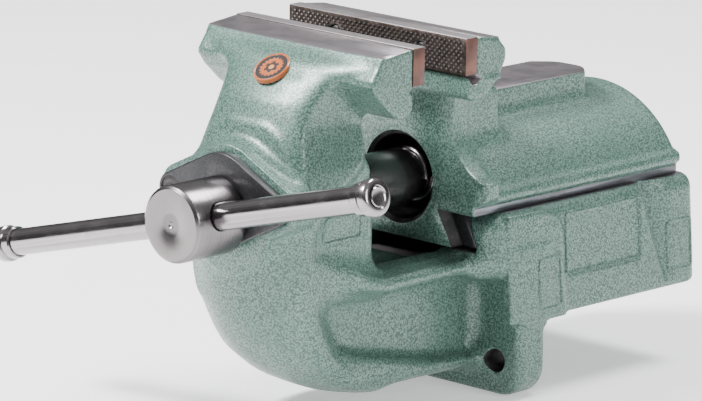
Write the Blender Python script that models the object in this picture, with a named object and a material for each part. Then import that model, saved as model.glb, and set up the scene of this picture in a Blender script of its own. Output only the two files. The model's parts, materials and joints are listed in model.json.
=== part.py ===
"""Bench vise with a fixed front jaw and a sliding rear jaw.

The casting hooks over a bench edge: a machined strip under the slide guide rests on the
bench top, and a lug plate in front of it bolts to the bench's front edge.

Everything is drawn from two references: y = 0 is the fixed jaw's gripping face and z = 0 is
the spindle's axis. An empty sets the whole drawing down so that the world origin is the
centre of the machined bench seat. X runs along the jaws, +Y points to the back of the vise.
"""

import math

import bmesh
import bpy
from mathutils import Matrix, Vector

MM = 0.001

# ---------------------------------------------------------------- driving dimensions (metres)
# Fits
GAP = 0.3 * MM                      # between pieces that rest on or pass through each other
SLIDE_GAP = 0.5 * MM                # between the slide's skirts and the top of the guide

# Where the drawing sits on the bench
SEAT_LENGTH = 17.0 * MM             # machined strip that rests on the bench top, front to back
SEAT_HEIGHT = 1.5 * MM              # how far the strip stands below the rest of the underside
SPINDLE_ABOVE_SEAT = 73.0 * MM
FACE_TO_LUG_BACK = 95.0 * MM        # from the fixed gripping face back to the bench's edge

# Jaws
JAW_WIDTH = 125.0 * MM
JAW_TOP = 84.0 * MM                 # above the spindle's axis
PLATE_HEIGHT = 19.5 * MM
PLATE_THICKNESS = 9.0 * MM
REST_OPENING = 29.0 * MM            # the jaws are modelled this far apart
MAX_OPENING = 125.0 * MM
PLATE_SCREW_SPACING = 60.0 * MM
PLATE_SCREW_RADIUS = 3.0 * MM
PLATE_SCREW_LENGTH = 20.0 * MM
PLATE_SCREW_RECESS = 1.5 * MM
HOOK_DEPTH = 35.5 * MM              # jaw top down to the bottom of the hook-shaped jaw end
BAND_DEPTH = 19.5 * MM              # machined band on top of the jaw, behind the plate
BAND_DROP = 2.5 * MM
FIXED_NOSE_REACH = 26.0 * MM
SLIDING_NOSE_REACH = 22.5 * MM
NOSE_DROP = 14.5 * MM

# Spindle, its head and the flange that holds it
SPINDLE_RADIUS = 15.0 * MM
THREAD_PITCH = 6.0 * MM
HEAD_RADIUS = 19.75 * MM
HEAD_LENGTH = 34.1 * MM
HEAD_CHAMFER = 1.5 * MM
SHANK_LENGTH = 133.0 * MM           # smooth part, from the head to the start of the thread
BOSS_REACH = 76.3 * MM              # from the gripping face forward to the front boss's face
BOSS_RADIUS = 30.0 * MM
FLANGE_THICKNESS = 5.0 * MM
FLANGE_RADIUS = 24.0 * MM
FLANGE_RISE = 7.5 * MM              # the flange sits above the spindle's axis
FLANGE_EAR_REACH = 35.5 * MM
FLANGE_EAR_RADIUS = 8.5 * MM
FLANGE_SCREW_RADIUS = 3.5 * MM
FLANGE_SCREW_LENGTH = 20.0 * MM
GROOVE_DEPTH = 3.5 * MM             # groove behind the head that the flange plate sits in
BODY_BORE_CLEARANCE = 0.5 * MM
BORE_CHAMFER = 1.0 * MM

# Tommy bar
BAR_RADIUS = 7.0 * MM
BAR_LENGTH = 275.0 * MM             # over the two end caps
BAR_TILT = math.radians(14.7)
BAR_OFFSET = -8.0 * MM              # how far the bar stands off centre in the head
CAP_RADIUS = 9.4 * MM
CAP_SLEEVE_RADIUS = 8.3 * MM
CAP_LENGTH = 13.0 * MM
CAP_SLEEVE_LENGTH = 5.5 * MM
RIVET_RADIUS = 5.0 * MM

# Fixed casting, front part
NECK_BACK = -13.0 * MM
TUNNEL_RADIUS = 30.0 * MM
TUNNEL_BACK = -3.0 * MM
SADDLE_HALF_WIDTH = 33.0 * MM
WEB_HALF_WIDTH = 30.0 * MM
THROAT_FLOOR = -36.5 * MM
LEDGE_HALF_WIDTH = 48.0 * MM
LEDGE_THICKNESS = 8.0 * MM
TROUGH_HALF_WIDTH = 26.0 * MM
TROUGH_FLOOR = -41.0 * MM
BELLY_BOTTOM = -100.0 * MM
BELLY_FLANGE_THICKNESS = 14.0 * MM
BELLY_FLANGE_HALF_WIDTH = 39.0 * MM
BELLY_FLANGE_FRONT = -12.0 * MM

# Fixed casting, guide and lug
GUIDE_FRONT = 55.0 * MM
GUIDE_BACK = 214.0 * MM
GUIDE_TOP_HALF_WIDTH = 60.0 * MM
GUIDE_BOTTOM_HALF_WIDTH = 64.0 * MM
GUIDE_EDGE_RADIUS = 9.0 * MM
LUG_THICKNESS = 20.0 * MM
LUG_BOTTOM = -113.0 * MM
LUG_HALF_WIDTH = 62.5 * MM
LUG_CORNER_RADIUS = 16.0 * MM
LUG_HOLE_RADIUS = 6.25 * MM
LUG_HOLE_SPACING = 92.0 * MM
LUG_HOLE_HEIGHT = 19.0 * MM         # above the lug's bottom edge
WEDGE_GROOVE_FRONT = 166.0 * MM
WEDGE_GROOVE_WIDTH = 16.0 * MM
WEDGE_GROOVE_DEPTH = 5.0 * MM

# Dovetail and gib
DOVETAIL_ANGLE = math.radians(30)   # flank, from the vertical
DOVETAIL_TOP_HALF_WIDTH = 38.0 * MM
DOVETAIL_HEIGHT = 18.0 * MM
DOVETAIL_FLOOR_CLEARANCE = 2.3 * MM
GIB_THICKNESS = 9.0 * MM
GIB_SCREW_RADIUS = 2.5 * MM
GIB_SCREW_HEAD_RADIUS = 5.0 * MM
GIB_SCREW_HEAD_THICKNESS = 4.0 * MM
GIB_SCREW_LENGTH = 18.0 * MM

# Sliding jaw
SLIDE_FRONT_OFFSET = 19.0 * MM      # from the sliding gripping face back to the slide's front
BARREL_LENGTH = 159.0 * MM
BARREL_RADIUS = 62.0 * MM
BARREL_CENTRE = -31.0 * MM
SKIRT_BOTTOM = -12.8 * MM
SKIRT_HALF_WIDTH = 53.0 * MM
BEAD_PROUD = 3.5 * MM
BEAD_HEIGHT = 7.0 * MM
COLUMN_LENGTH = 43.0 * MM
COLUMN_FLARE_LENGTH = 11.0 * MM     # part of the column that spreads out under the jaw
COLUMN_HALF_WIDTH = 35.0 * MM
NOTCH_RADIUS = 27.0 * MM
SLIDE_BORE_CLEARANCE = 7.4 * MM     # around the spindle, in the slide's front wall
SLIDE_BORE_DEPTH = 28.0 * MM
WALL = 10.0 * MM
CAVITY_FLOOR = -22.0 * MM
PAD_HALF_WIDTH = 19.5 * MM
PAD_LENGTH = 96.0 * MM
PAD_END_FROM_BACK = 27.0 * MM
PAD_TOP = 41.4 * MM

# Nut
NUT_WALL_THICKNESS = 5.0 * MM       # around the spindle
NUT_BODY_LENGTH = 28.0 * MM
NUT_FLANGE_THICKNESS = 8.0 * MM
NUT_FLANGE_HALF_WIDTH = 34.0 * MM
NUT_FLANGE_CLEARANCE = 2.0 * MM     # inside the housing's roof and floor
NUT_SCREW_SPACING = 54.0 * MM
NUT_SCREW_RADIUS = 2.5 * MM
NUT_SCREW_HEAD_RADIUS = 4.5 * MM
NUT_SCREW_HEAD_HEIGHT = 4.0 * MM
NUT_SCREW_LENGTH = 20.0 * MM

# Badge
BADGE_RADIUS = 10.0 * MM
BADGE_THICKNESS = 1.2 * MM
BADGE_HEIGHT = 70.0 * MM
BADGE_REACH = 46.0 * MM             # forward of the gripping face
BADGE_LEAN = math.radians(55)       # its face looks this far above the horizontal

ROUND_SEGMENTS = 48
SMALL_SEGMENTS = 24
CORNER_STEPS = 5
WELD_DISTANCE = 0.005 * MM

# ---------------------------------------------------------------- worked-out places
HALF_JAW = JAW_WIDTH / 2
GROOVE_RADIUS = SPINDLE_RADIUS - GROOVE_DEPTH
NUT_RADIUS = SPINDLE_RADIUS + NUT_WALL_THICKNESS
SLIDE_BORE_RADIUS = SPINDLE_RADIUS + SLIDE_BORE_CLEARANCE
SEAT_CENTRE = FACE_TO_LUG_BACK + SEAT_LENGTH / 2
SEAT_LEVEL = -SPINDLE_ABOVE_SEAT
GUIDE_BOTTOM = SEAT_LEVEL + SEAT_HEIGHT
LUG_MIDDLE = FACE_TO_LUG_BACK - LUG_THICKNESS / 2
GUIDE_TOP = SKIRT_BOTTOM - SLIDE_GAP
PLATE_BOTTOM = JAW_TOP - PLATE_HEIGHT
PLATE_MIDDLE = JAW_TOP - PLATE_HEIGHT / 2
FIXED_SEAT = -(PLATE_THICKNESS + GAP)
SLIDING_SEAT = REST_OPENING + PLATE_THICKNESS + GAP
SLIDE_FRONT = REST_OPENING + SLIDE_FRONT_OFFSET
SLIDE_BACK = SLIDE_FRONT + BARREL_LENGTH
FLANGE_FRONT = -BOSS_REACH - GAP - FLANGE_THICKNESS
HEAD_BACK = FLANGE_FRONT - GAP
HEAD_FRONT = HEAD_BACK - HEAD_LENGTH
BAR_LEVEL = HEAD_BACK - HEAD_LENGTH / 2
THREAD_START = HEAD_BACK + SHANK_LENGTH
NUT_FRONT = THREAD_START + REST_OPENING
NUT_WALL = NUT_FRONT + NUT_BODY_LENGTH
NUT_BACK = NUT_WALL + GAP + NUT_FLANGE_THICKNESS
SPINDLE_END = NUT_BACK + (MAX_OPENING - REST_OPENING) + 1 * MM
CAVITY_RADIUS = BARREL_RADIUS - WALL
DOVETAIL_BOTTOM = GUIDE_TOP - DOVETAIL_HEIGHT
DOVETAIL_FLARE = math.tan(DOVETAIL_ANGLE)
SLOT_FLOOR = DOVETAIL_BOTTOM - DOVETAIL_FLOOR_CLEARANCE
GIB_FRONT = GUIDE_FRONT + 1 * MM
GIB_BACK = GUIDE_BACK - GIB_SCREW_HEAD_THICKNESS - 2 * GAP


# ---------------------------------------------------------------- drawing helpers
def clear_scene():
    """Empty the file without closing it."""
    for old in list(bpy.data.objects):
        bpy.data.objects.remove(old, do_unlink=True)


def make_material(name, colour, roughness, metallic):
    """A plain painted or metal finish."""
    material = bpy.data.materials.new(name)
    material.use_nodes = True
    shader = material.node_tree.nodes["Principled BSDF"]
    shader.inputs["Base Color"].default_value = (*colour, 1.0)
    shader.inputs["Roughness"].default_value = roughness
    shader.inputs["Metallic"].default_value = metallic
    return material


def add_object(name, bm, parent, material=None, smooth_angle=35):
    """Close a bmesh into a named object under its parent; no material makes it a tool shape."""
    bmesh.ops.remove_doubles(bm, verts=bm.verts, dist=1e-7)
    bmesh.ops.recalc_face_normals(bm, faces=bm.faces)
    mesh = bpy.data.meshes.new(name)
    bm.to_mesh(mesh)
    bm.free()
    mesh.shade_smooth()
    mesh.set_sharp_from_angle(angle=math.radians(smooth_angle))
    obj = bpy.data.objects.new(name, mesh)
    bpy.context.collection.objects.link(obj)
    obj.parent = parent
    if material:
        mesh.materials.append(material)
    else:
        obj.hide_render = True
        obj.display_type = "WIRE"
    return obj


def add_empty(name, parent, location=(0, 0, 0), rotation=(0, 0, 0)):
    """A plain axis that pieces hang from."""
    empty = bpy.data.objects.new(name, None)
    bpy.context.collection.objects.link(empty)
    empty.parent = parent
    empty.location = location
    empty.rotation_euler = rotation
    return empty


def combine(body, tool, operation):
    """Join, cut or intersect the body with a tool shape."""
    modifier = body.modifiers.new(f"{operation.lower()}_{tool.name}", "BOOLEAN")
    modifier.operation = operation
    modifier.object = tool


def join(body, *tools):
    for tool in tools:
        combine(body, tool, "UNION")


def cut(body, *tools):
    for tool in tools:
        combine(body, tool, "DIFFERENCE")


def weld(body):
    """Merge the doubled points that a chain of Booleans leaves along its seams."""
    modifier = body.modifiers.new("weld_seams", "WELD")
    modifier.merge_threshold = WELD_DISTANCE


def arc(centre, radius, start, end, steps):
    """Points on a circle in the drawing plane; angles in degrees."""
    points = []
    for step in range(steps + 1):
        angle = math.radians(start + (end - start) * step / steps)
        points.append((centre[0] + radius * math.cos(angle), centre[1] + radius * math.sin(angle)))
    return points


def rounded(corners, steps=CORNER_STEPS):
    """Outline through corners (a, b, radius); each corner with a radius is rounded off."""
    outline = []
    count = len(corners)
    for index, (a, b, radius) in enumerate(corners):
        here = Vector((a, b))
        if radius <= 0:
            outline.append((a, b))
            continue
        before = (Vector(corners[index - 1][:2]) - here).normalized()
        after = (Vector(corners[(index + 1) % count][:2]) - here).normalized()
        half_angle = before.angle(after) / 2
        run = radius / math.tan(half_angle)
        centre = here + (before + after).normalized() * (radius / math.sin(half_angle))
        first = here + before * run - centre
        last = here + after * run - centre
        turn = first.angle_signed(last)
        for step in range(steps + 1):
            spoke = first.copy()
            spoke.rotate(Matrix.Rotation(-turn * step / steps, 2))
            outline.append(tuple(centre + spoke))
    return outline


def prism(name, outline, low, high, across, parent, material=None):
    """Extrude an outline along X (drawn in Y, Z), along Y (drawn in X, Z) or Z (X, Y)."""
    bm = bmesh.new()
    if across == "X":
        corners = [Vector((low, a, b)) for a, b in outline]
        travel = Vector((high - low, 0, 0))
    elif across == "Y":
        corners = [Vector((a, low, b)) for a, b in outline]
        travel = Vector((0, high - low, 0))
    else:
        corners = [Vector((a, b, low)) for a, b in outline]
        travel = Vector((0, 0, high - low))
    face = bm.faces.new([bm.verts.new(corner) for corner in corners])
    grown = bmesh.ops.extrude_face_region(bm, geom=[face])
    moved = [item for item in grown["geom"] if isinstance(item, bmesh.types.BMVert)]
    bmesh.ops.translate(bm, verts=moved, vec=travel)
    return add_object(name, bm, parent, material)


def turned(name, profile, parent, material=None, segments=ROUND_SEGMENTS, centre=(0, 0)):
    """Spin a profile of (radius, y) points about a line along Y through centre (x, z)."""
    bm = bmesh.new()
    verts = [bm.verts.new((centre[0] + radius, along, centre[1])) for radius, along in profile]
    edges = [bm.edges.new(pair) for pair in zip(verts, verts[1:])]
    if profile[0][0] > 0:
        edges.append(bm.edges.new((verts[-1], verts[0])))
    bmesh.ops.spin(
        bm, geom=verts + edges, cent=(centre[0], 0, centre[1]), axis=(0, 1, 0),
        angle=math.tau, steps=segments, use_merge=True,
    )
    return add_object(name, bm, parent, material)


def rod(name, radius, low, high, parent, material=None, segments=ROUND_SEGMENTS, centre=(0, 0)):
    """A plain cylinder along Y."""
    profile = [(0, low), (radius, low), (radius, high), (0, high)]
    return turned(name, profile, parent, material, segments, centre)


def loft(name, rings, parent, material=None):
    """Skin a stack of rings that have the same number of points, and cap both ends."""
    bm = bmesh.new()
    rows = [[bm.verts.new(point) for point in ring] for ring in rings]
    count = len(rows[0])
    for lower, upper in zip(rows, rows[1:]):
        for index in range(count):
            following = (index + 1) % count
            bm.faces.new((lower[index], lower[following], upper[following], upper[index]))
    bm.faces.new(rows[0])
    bm.faces.new(rows[-1])
    return add_object(name, bm, parent, material)


def mirrored(outline):
    """Mirror an outline's right half (x >= 0, top to bottom) to make it whole."""
    return outline + [(-a, b) for a, b in reversed(outline)]


# ---------------------------------------------------------------- shapes used by both jaws
def jaw_end_outline(seat, nose_reach, away):
    """The hook-shaped end of a jaw in Y, Z; away is -1 for the front jaw and 1 for the back."""
    back = 1.0 * MM
    corners = [
        (seat, JAW_TOP - 0.6 * MM, 0),
        (seat + away * BAND_DEPTH * nose_reach / FIXED_NOSE_REACH, JAW_TOP - BAND_DROP, 1.5 * MM),
        (seat + away * nose_reach, JAW_TOP - NOSE_DROP, 4.5 * MM),
        (seat + away * 12 * MM, JAW_TOP - HOOK_DEPTH, 5.0 * MM),
        (seat - away * back, JAW_TOP - HOOK_DEPTH + 1 * MM, 5.0 * MM),
        (seat - away * back, PLATE_BOTTOM - 4.5 * MM, 1.5 * MM),
        (seat, PLATE_BOTTOM - 2.5 * MM, 0),
    ]
    return rounded(corners)


def flange_outline(grow=0.0):
    """Lozenge plate: a middle round and two ears joined by straight edges, in X, Z."""
    middle = FLANGE_RADIUS + grow
    ear = FLANGE_EAR_RADIUS + grow
    lean = math.degrees(math.asin((middle - ear) / FLANGE_EAR_REACH))
    centre = (0, FLANGE_RISE)
    right = (FLANGE_EAR_REACH, FLANGE_RISE)
    left = (-FLANGE_EAR_REACH, FLANGE_RISE)
    return (
        arc(right, ear, -90 + lean, 90 - lean, 10)
        + arc(centre, middle, 90 - lean, 90 + lean, 8)
        + arc(left, ear, 90 + lean, 270 - lean, 10)
        + arc(centre, middle, 270 - lean, 270 + lean, 8)
    )


def dovetail_half_width(level, top_half_width):
    """Half width of the dovetail at a level below the guide's top."""
    return top_half_width + (GUIDE_TOP - level) * DOVETAIL_FLARE


# ---------------------------------------------------------------- fixed casting
def neck_ring(level, reach, half_width, shoulder, back, points=15):
    """One level of the front casting: an oval front, cut off flat at the back."""
    depth = reach + shoulder
    start = 0.0
    if back < shoulder:
        start = math.asin((shoulder - back) / depth)
    ring = []
    for step in range(points):
        angle = start + (math.pi - 2 * start) * step / (points - 1)
        ring.append((half_width * math.cos(angle), shoulder - depth * math.sin(angle), level))
    tail = shoulder + 1 * MM
    if back < shoulder:
        tail = back + 0.5 * MM
    edge = half_width * math.cos(start)
    ring.append((-edge, tail, level))
    ring.append((edge, tail, level))
    return ring


def front_shell(parent):
    """Neck, shield and belly as one stack of ovals from the jaw down to the bottom."""
    stations = [
        # level, reach forward, half width, where the oval starts, back
        (74, 38, 47, -30, NECK_BACK / MM),
        (70, 44, 41, -34, NECK_BACK / MM),
        (66, 48.5, 37, -38, NECK_BACK / MM),
        (62, 52, 34.5, -42, NECK_BACK / MM),
        (56, 56.5, 32.7, -46, NECK_BACK / MM),
        (50, 60, 32.2, -49, NECK_BACK / MM),
        (44, 62.5, 32.5, -51, NECK_BACK / MM),
        (38, 65, 34, -53, NECK_BACK / MM),
        (30, 68.5, 37, -54, NECK_BACK / MM),
        (22, 72, 40.5, -53, -35),
        (14, 74, 43, -51, -50),
        (0, 74.8, 45, -48, -54),
        (-15, 74.8, 45, -46, -56),
        (-30, 74.5, 44.5, -44, -56),
        (-45, 72, 43.5, -40, -55),
        (-60, 67, 42.5, -34, -48),
        (-72, 60, 41.5, -27, -36),
        (-84, 49, 39, -17, -20),
        (-93, 36, 35, -8, -8),
        (-98, 24, 30, 0, 0),
        (BELLY_BOTTOM / MM + 0.7, 14, 25, 4, 4),
    ]
    rings = []
    for level, reach, half_width, shoulder, back in stations:
        rings.append(neck_ring(level * MM, reach * MM, half_width * MM, shoulder * MM, back * MM))
    return loft("front_shell", rings, parent)


def belly_flange(parent):
    """Bottom flange that carries the belly back to the lug plate."""
    half = BELLY_FLANGE_HALF_WIDTH
    top = BELLY_BOTTOM + BELLY_FLANGE_THICKNESS
    right = rounded([
        (0, top, 0),
        (half, top, 3 * MM),
        (half - 3 * MM, BELLY_BOTTOM, 9 * MM),
        (0, BELLY_BOTTOM, 0),
    ])
    outline = right[:-1] + [(-a, b) for a, b in reversed(right[1:])]
    return prism("belly_flange", outline, BELLY_FLANGE_FRONT, LUG_MIDDLE, "Y", parent)


def web(parent):
    """Middle wall between the belly, the throat floor and the lug plate."""
    outline = [
        (-58 * MM, 16 * MM), (-52 * MM, -56 * MM), (-16 * MM, -84 * MM),
        (4 * MM, BELLY_BOTTOM + 4 * MM), (LUG_MIDDLE, BELLY_BOTTOM + 4 * MM),
        (LUG_MIDDLE, THROAT_FLOOR - 6 * MM), (TUNNEL_BACK - 11 * MM, THROAT_FLOOR - 6 * MM),
        (TUNNEL_BACK - 11 * MM, 16 * MM),
    ]
    return prism("web", outline, -WEB_HALF_WIDTH, WEB_HALF_WIDTH, "X", parent)


def saddle(parent):
    """Flat-sided body under the spindle tunnel."""
    outline = mirrored(rounded([
        (SADDLE_HALF_WIDTH - 4 * MM, 12 * MM, 0),
        (SADDLE_HALF_WIDTH, 4 * MM, 3 * MM),
        (SADDLE_HALF_WIDTH, THROAT_FLOOR - LEDGE_THICKNESS / 2, 0),
    ]))
    return prism("saddle", outline, -60.7 * MM, TUNNEL_BACK - 5 * MM, "Y", parent)


def saddle_foot(parent):
    """Where the saddle spreads out to the throat floor."""
    outline = mirrored(rounded([
        (SADDLE_HALF_WIDTH - 3 * MM, -20 * MM, 0),
        (SADDLE_HALF_WIDTH + 0.6 * MM, -22 * MM, 6 * MM),
        (LEDGE_HALF_WIDTH - 2 * MM, THROAT_FLOOR - 1 * MM, 3 * MM),
        (LEDGE_HALF_WIDTH - 2 * MM, THROAT_FLOOR - LEDGE_THICKNESS + 2 * MM, 0),
    ]))
    return prism("saddle_foot", outline, -44 * MM, TUNNEL_BACK - 5.6 * MM, "Y", parent)


def ledge(parent):
    """Throat floor between the tunnel and the guide."""
    outline = rounded([
        (LEDGE_HALF_WIDTH, THROAT_FLOOR, 3 * MM),
        (LEDGE_HALF_WIDTH, THROAT_FLOOR - LEDGE_THICKNESS, 3 * MM),
        (-LEDGE_HALF_WIDTH, THROAT_FLOOR - LEDGE_THICKNESS, 3 * MM),
        (-LEDGE_HALF_WIDTH, THROAT_FLOOR, 3 * MM),
    ])
    return prism("ledge", outline, -34 * MM, GUIDE_FRONT + 6 * MM, "Y", parent)


def guide(parent):
    """Slide guide, from the throat to the back end."""
    outline = rounded([
        (GUIDE_TOP_HALF_WIDTH - 0.5 * MM, GUIDE_TOP, GUIDE_EDGE_RADIUS),
        (GUIDE_BOTTOM_HALF_WIDTH, GUIDE_BOTTOM, 2 * MM),
        (-GUIDE_BOTTOM_HALF_WIDTH, GUIDE_BOTTOM, 2 * MM),
        (-GUIDE_TOP_HALF_WIDTH + 0.5 * MM, GUIDE_TOP, GUIDE_EDGE_RADIUS),
    ])
    return prism("guide", outline, GUIDE_FRONT, GUIDE_BACK, "Y", parent)


def lug_plate(parent):
    """Plate that hangs in front of the bench and takes the two bench bolts."""
    outline = rounded([
        (LUG_HALF_WIDTH, GUIDE_BOTTOM + 8 * MM, 0),
        (LUG_HALF_WIDTH, LUG_BOTTOM, LUG_CORNER_RADIUS),
        (-LUG_HALF_WIDTH, LUG_BOTTOM, LUG_CORNER_RADIUS),
        (-LUG_HALF_WIDTH, GUIDE_BOTTOM + 8 * MM, 0),
    ], steps=8)
    return prism("lug_plate", outline, FACE_TO_LUG_BACK - LUG_THICKNESS, FACE_TO_LUG_BACK, "Y", parent)


def bench_seat(parent):
    """Machined strip that rests on the bench top, right behind the lug plate."""
    half = GUIDE_BOTTOM_HALF_WIDTH - 2 * MM
    outline = [
        (half, GUIDE_BOTTOM + 3 * MM), (half, SEAT_LEVEL),
        (-half, SEAT_LEVEL), (-half, GUIDE_BOTTOM + 3 * MM),
    ]
    back = FACE_TO_LUG_BACK + SEAT_LENGTH
    return prism("bench_seat", outline, FACE_TO_LUG_BACK - 3 * MM, back, "Y", parent)


def dovetail_slot(parent):
    """Female dovetail through the guide, with a clearance trough along its floor."""
    top = GUIDE_TOP + 5 * MM
    outline = mirrored([
        (DOVETAIL_TOP_HALF_WIDTH, top),
        (DOVETAIL_TOP_HALF_WIDTH, GUIDE_TOP),
        (dovetail_half_width(DOVETAIL_BOTTOM, DOVETAIL_TOP_HALF_WIDTH), DOVETAIL_BOTTOM),
        (dovetail_half_width(DOVETAIL_BOTTOM, DOVETAIL_TOP_HALF_WIDTH), SLOT_FLOOR),
        (TROUGH_HALF_WIDTH, SLOT_FLOOR),
        (TROUGH_HALF_WIDTH, TROUGH_FLOOR),
    ])
    return prism("dovetail_slot", outline, GUIDE_FRONT - 10 * MM, GUIDE_BACK + 5 * MM, "Y", parent)


def throat_trough(parent):
    """The trough carried forward through the throat floor to the tunnel's end."""
    half = TROUGH_HALF_WIDTH - 2 * MM
    floor = TROUGH_FLOOR + 0.8 * MM
    top = THROAT_FLOOR + 5 * MM
    outline = [(half, top), (half, floor), (-half, floor), (-half, top)]
    return prism("throat_trough", outline, TUNNEL_BACK + 2 * MM, GUIDE_FRONT - 4 * MM, "Y", parent)


def wedge_groove(parent, side):
    """Tapered groove in the side of the guide, wide at the top and deep in the middle."""
    outer = side * (GUIDE_BOTTOM_HALF_WIDTH + 5 * MM)
    middle = WEDGE_GROOVE_FRONT + WEDGE_GROOVE_WIDTH * 0.55
    rings = []
    for level, width, depth in (
        (GUIDE_TOP + 2 * MM, WEDGE_GROOVE_WIDTH, WEDGE_GROOVE_DEPTH),
        (GUIDE_BOTTOM + 8 * MM, WEDGE_GROOVE_WIDTH * 0.3, WEDGE_GROOVE_DEPTH * 0.2),
    ):
        share = (GUIDE_TOP - level) / (GUIDE_TOP - GUIDE_BOTTOM)
        wall = GUIDE_TOP_HALF_WIDTH + (GUIDE_BOTTOM_HALF_WIDTH - GUIDE_TOP_HALF_WIDTH) * share
        centre = middle + share * 12 * MM
        rings.append([
            (outer, centre - width, level),
            (side * wall, centre - width / 2, level),
            (side * (wall - depth), centre, level),
            (side * wall, centre + width / 2, level),
            (outer, centre + width, level),
        ])
    name = "wedge_groove_right" if side > 0 else "wedge_groove_left"
    return loft(name, rings, parent)


def gib_screw_centre():
    """Where the gib's adjusting screw stands in X, Z: in the guide's wall, beside the gib."""
    level = (GUIDE_TOP + DOVETAIL_BOTTOM) / 2
    wall = dovetail_half_width(level, DOVETAIL_TOP_HALF_WIDTH)
    return (wall + GIB_SCREW_RADIUS + 1.5 * MM, level)


def fixed_body(parent, material):
    """The whole fixed casting."""
    body = prism(
        "fixed_body", jaw_end_outline(FIXED_SEAT, FIXED_NOSE_REACH, -1),
        -HALF_JAW, HALF_JAW, "X", parent, material,
    )
    join(
        body,
        front_shell(parent),
        prism("front_boss", flange_outline(3.5 * MM), -BOSS_REACH + 0.4 * MM, -62.5 * MM, "Y", parent),
        rod("boss_ring", BOSS_RADIUS, -BOSS_REACH, -66 * MM, parent),
        rod("tunnel", TUNNEL_RADIUS, -62 * MM, TUNNEL_BACK, parent),
        saddle(parent),
        saddle_foot(parent),
        web(parent),
        belly_flange(parent),
        ledge(parent),
        guide(parent),
        lug_plate(parent),
        bench_seat(parent),
    )
    bore = SPINDLE_RADIUS + BODY_BORE_CLEARANCE
    mouth = bore + BORE_CHAMFER + 5 * MM
    cut(
        body,
        dovetail_slot(parent),
        throat_trough(parent),
        wedge_groove(parent, 1),
        wedge_groove(parent, -1),
        turned("spindle_way", [
            (0, -BOSS_REACH - 5 * MM), (mouth, -BOSS_REACH - 5 * MM), (bore, -BOSS_REACH + BORE_CHAMFER),
            (bore, TUNNEL_BACK - BORE_CHAMFER), (mouth, TUNNEL_BACK + 5 * MM), (0, TUNNEL_BACK + 5 * MM),
        ], parent),
    )
    for name, side in (("left", -1), ("right", 1)):
        ear = (side * FLANGE_EAR_REACH, FLANGE_RISE)
        screw_end = FLANGE_FRONT + FLANGE_SCREW_LENGTH + 2 * GAP
        plate_hole = (side * PLATE_SCREW_SPACING / 2, PLATE_MIDDLE)
        plate_hole_end = -PLATE_SCREW_RECESS - PLATE_SCREW_LENGTH - 2 * GAP
        lug_hole = (side * LUG_HOLE_SPACING / 2, LUG_BOTTOM + LUG_HOLE_HEIGHT)
        cut(
            body,
            rod(f"flange_screw_hole_{name}", FLANGE_SCREW_RADIUS + GAP, -BOSS_REACH - 3 * MM, screw_end,
                parent, None, SMALL_SEGMENTS, ear),
            rod(f"plate_screw_hole_{name}", PLATE_SCREW_RADIUS + GAP, plate_hole_end, FIXED_SEAT + 3 * MM,
                parent, None, SMALL_SEGMENTS, plate_hole),
            rod(f"bench_bolt_hole_{name}", LUG_HOLE_RADIUS, FACE_TO_LUG_BACK - LUG_THICKNESS - 5 * MM,
                FACE_TO_LUG_BACK + 5 * MM, parent, None, SMALL_SEGMENTS, lug_hole),
        )
    screw_front = GUIDE_BACK - GIB_SCREW_LENGTH - 2 * GAP
    recess_front = GUIDE_BACK - GIB_SCREW_HEAD_THICKNESS - GAP
    cut(
        body,
        rod("gib_screw_hole", GIB_SCREW_RADIUS + GAP, screw_front, GUIDE_BACK + 4 * MM,
            parent, None, SMALL_SEGMENTS, gib_screw_centre()),
        rod("gib_screw_recess", GIB_SCREW_HEAD_RADIUS + GAP, recess_front, GUIDE_BACK + 3 * MM,
            parent, None, SMALL_SEGMENTS, gib_screw_centre()),
    )
    weld(body)
    return body


# ---------------------------------------------------------------- jaw plates and their screws
def jaw_plate(name, front, parent, material):
    """Hardened plate with two screw holes; front is its lower y."""
    outline = [
        (HALF_JAW, JAW_TOP), (HALF_JAW, PLATE_BOTTOM),
        (-HALF_JAW, PLATE_BOTTOM), (-HALF_JAW, JAW_TOP),
    ]
    plate = prism(name, outline, front, front + PLATE_THICKNESS, "Y", parent, material)
    for side_name, side in (("left", -1), ("right", 1)):
        cut(plate, rod(
            f"{name}_hole_{side_name}", PLATE_SCREW_RADIUS + GAP,
            front - 3 * MM, front + PLATE_THICKNESS + 3 * MM,
            parent, None, SMALL_SEGMENTS, (side * PLATE_SCREW_SPACING / 2, PLATE_MIDDLE),
        ))
    return plate


def slotted_screw(name, profile, head_end, slot_depth, parent, material, centre, slot_half_length):
    """A turned screw with a driver slot across the end at head_end."""
    screw = turned(name, profile, parent, material, SMALL_SEGMENTS, centre)
    half = 0.5 * MM
    outline = [
        (centre[0] - slot_half_length, centre[1] + half), (centre[0] + slot_half_length, centre[1] + half),
        (centre[0] + slot_half_length, centre[1] - half), (centre[0] - slot_half_length, centre[1] - half),
    ]
    inward = 1 if profile[-1][1] > head_end else -1
    low, high = sorted((head_end - inward * 2 * MM, head_end + inward * slot_depth))
    cut(screw, prism(f"{name}_slot", outline, low, high, "Y", parent))
    return screw


def plate_screws(word, gripping_face, inward, parent, material):
    """Two flush screws that hold a jaw plate; inward is the way they are driven."""
    head_end = gripping_face + inward * PLATE_SCREW_RECESS
    far_end = head_end + inward * PLATE_SCREW_LENGTH
    for side_name, side in (("left", -1), ("right", 1)):
        centre = (side * PLATE_SCREW_SPACING / 2, PLATE_MIDDLE)
        profile = [
            (0, head_end), (PLATE_SCREW_RADIUS, head_end),
            (PLATE_SCREW_RADIUS, far_end - inward * 1 * MM), (PLATE_SCREW_RADIUS - 1 * MM, far_end),
            (0, far_end),
        ]
        slotted_screw(f"{word}_plate_screw_{side_name}", profile, head_end, 1.2 * MM, parent, material,
                      centre, PLATE_SCREW_RADIUS + 1 * MM)


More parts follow.
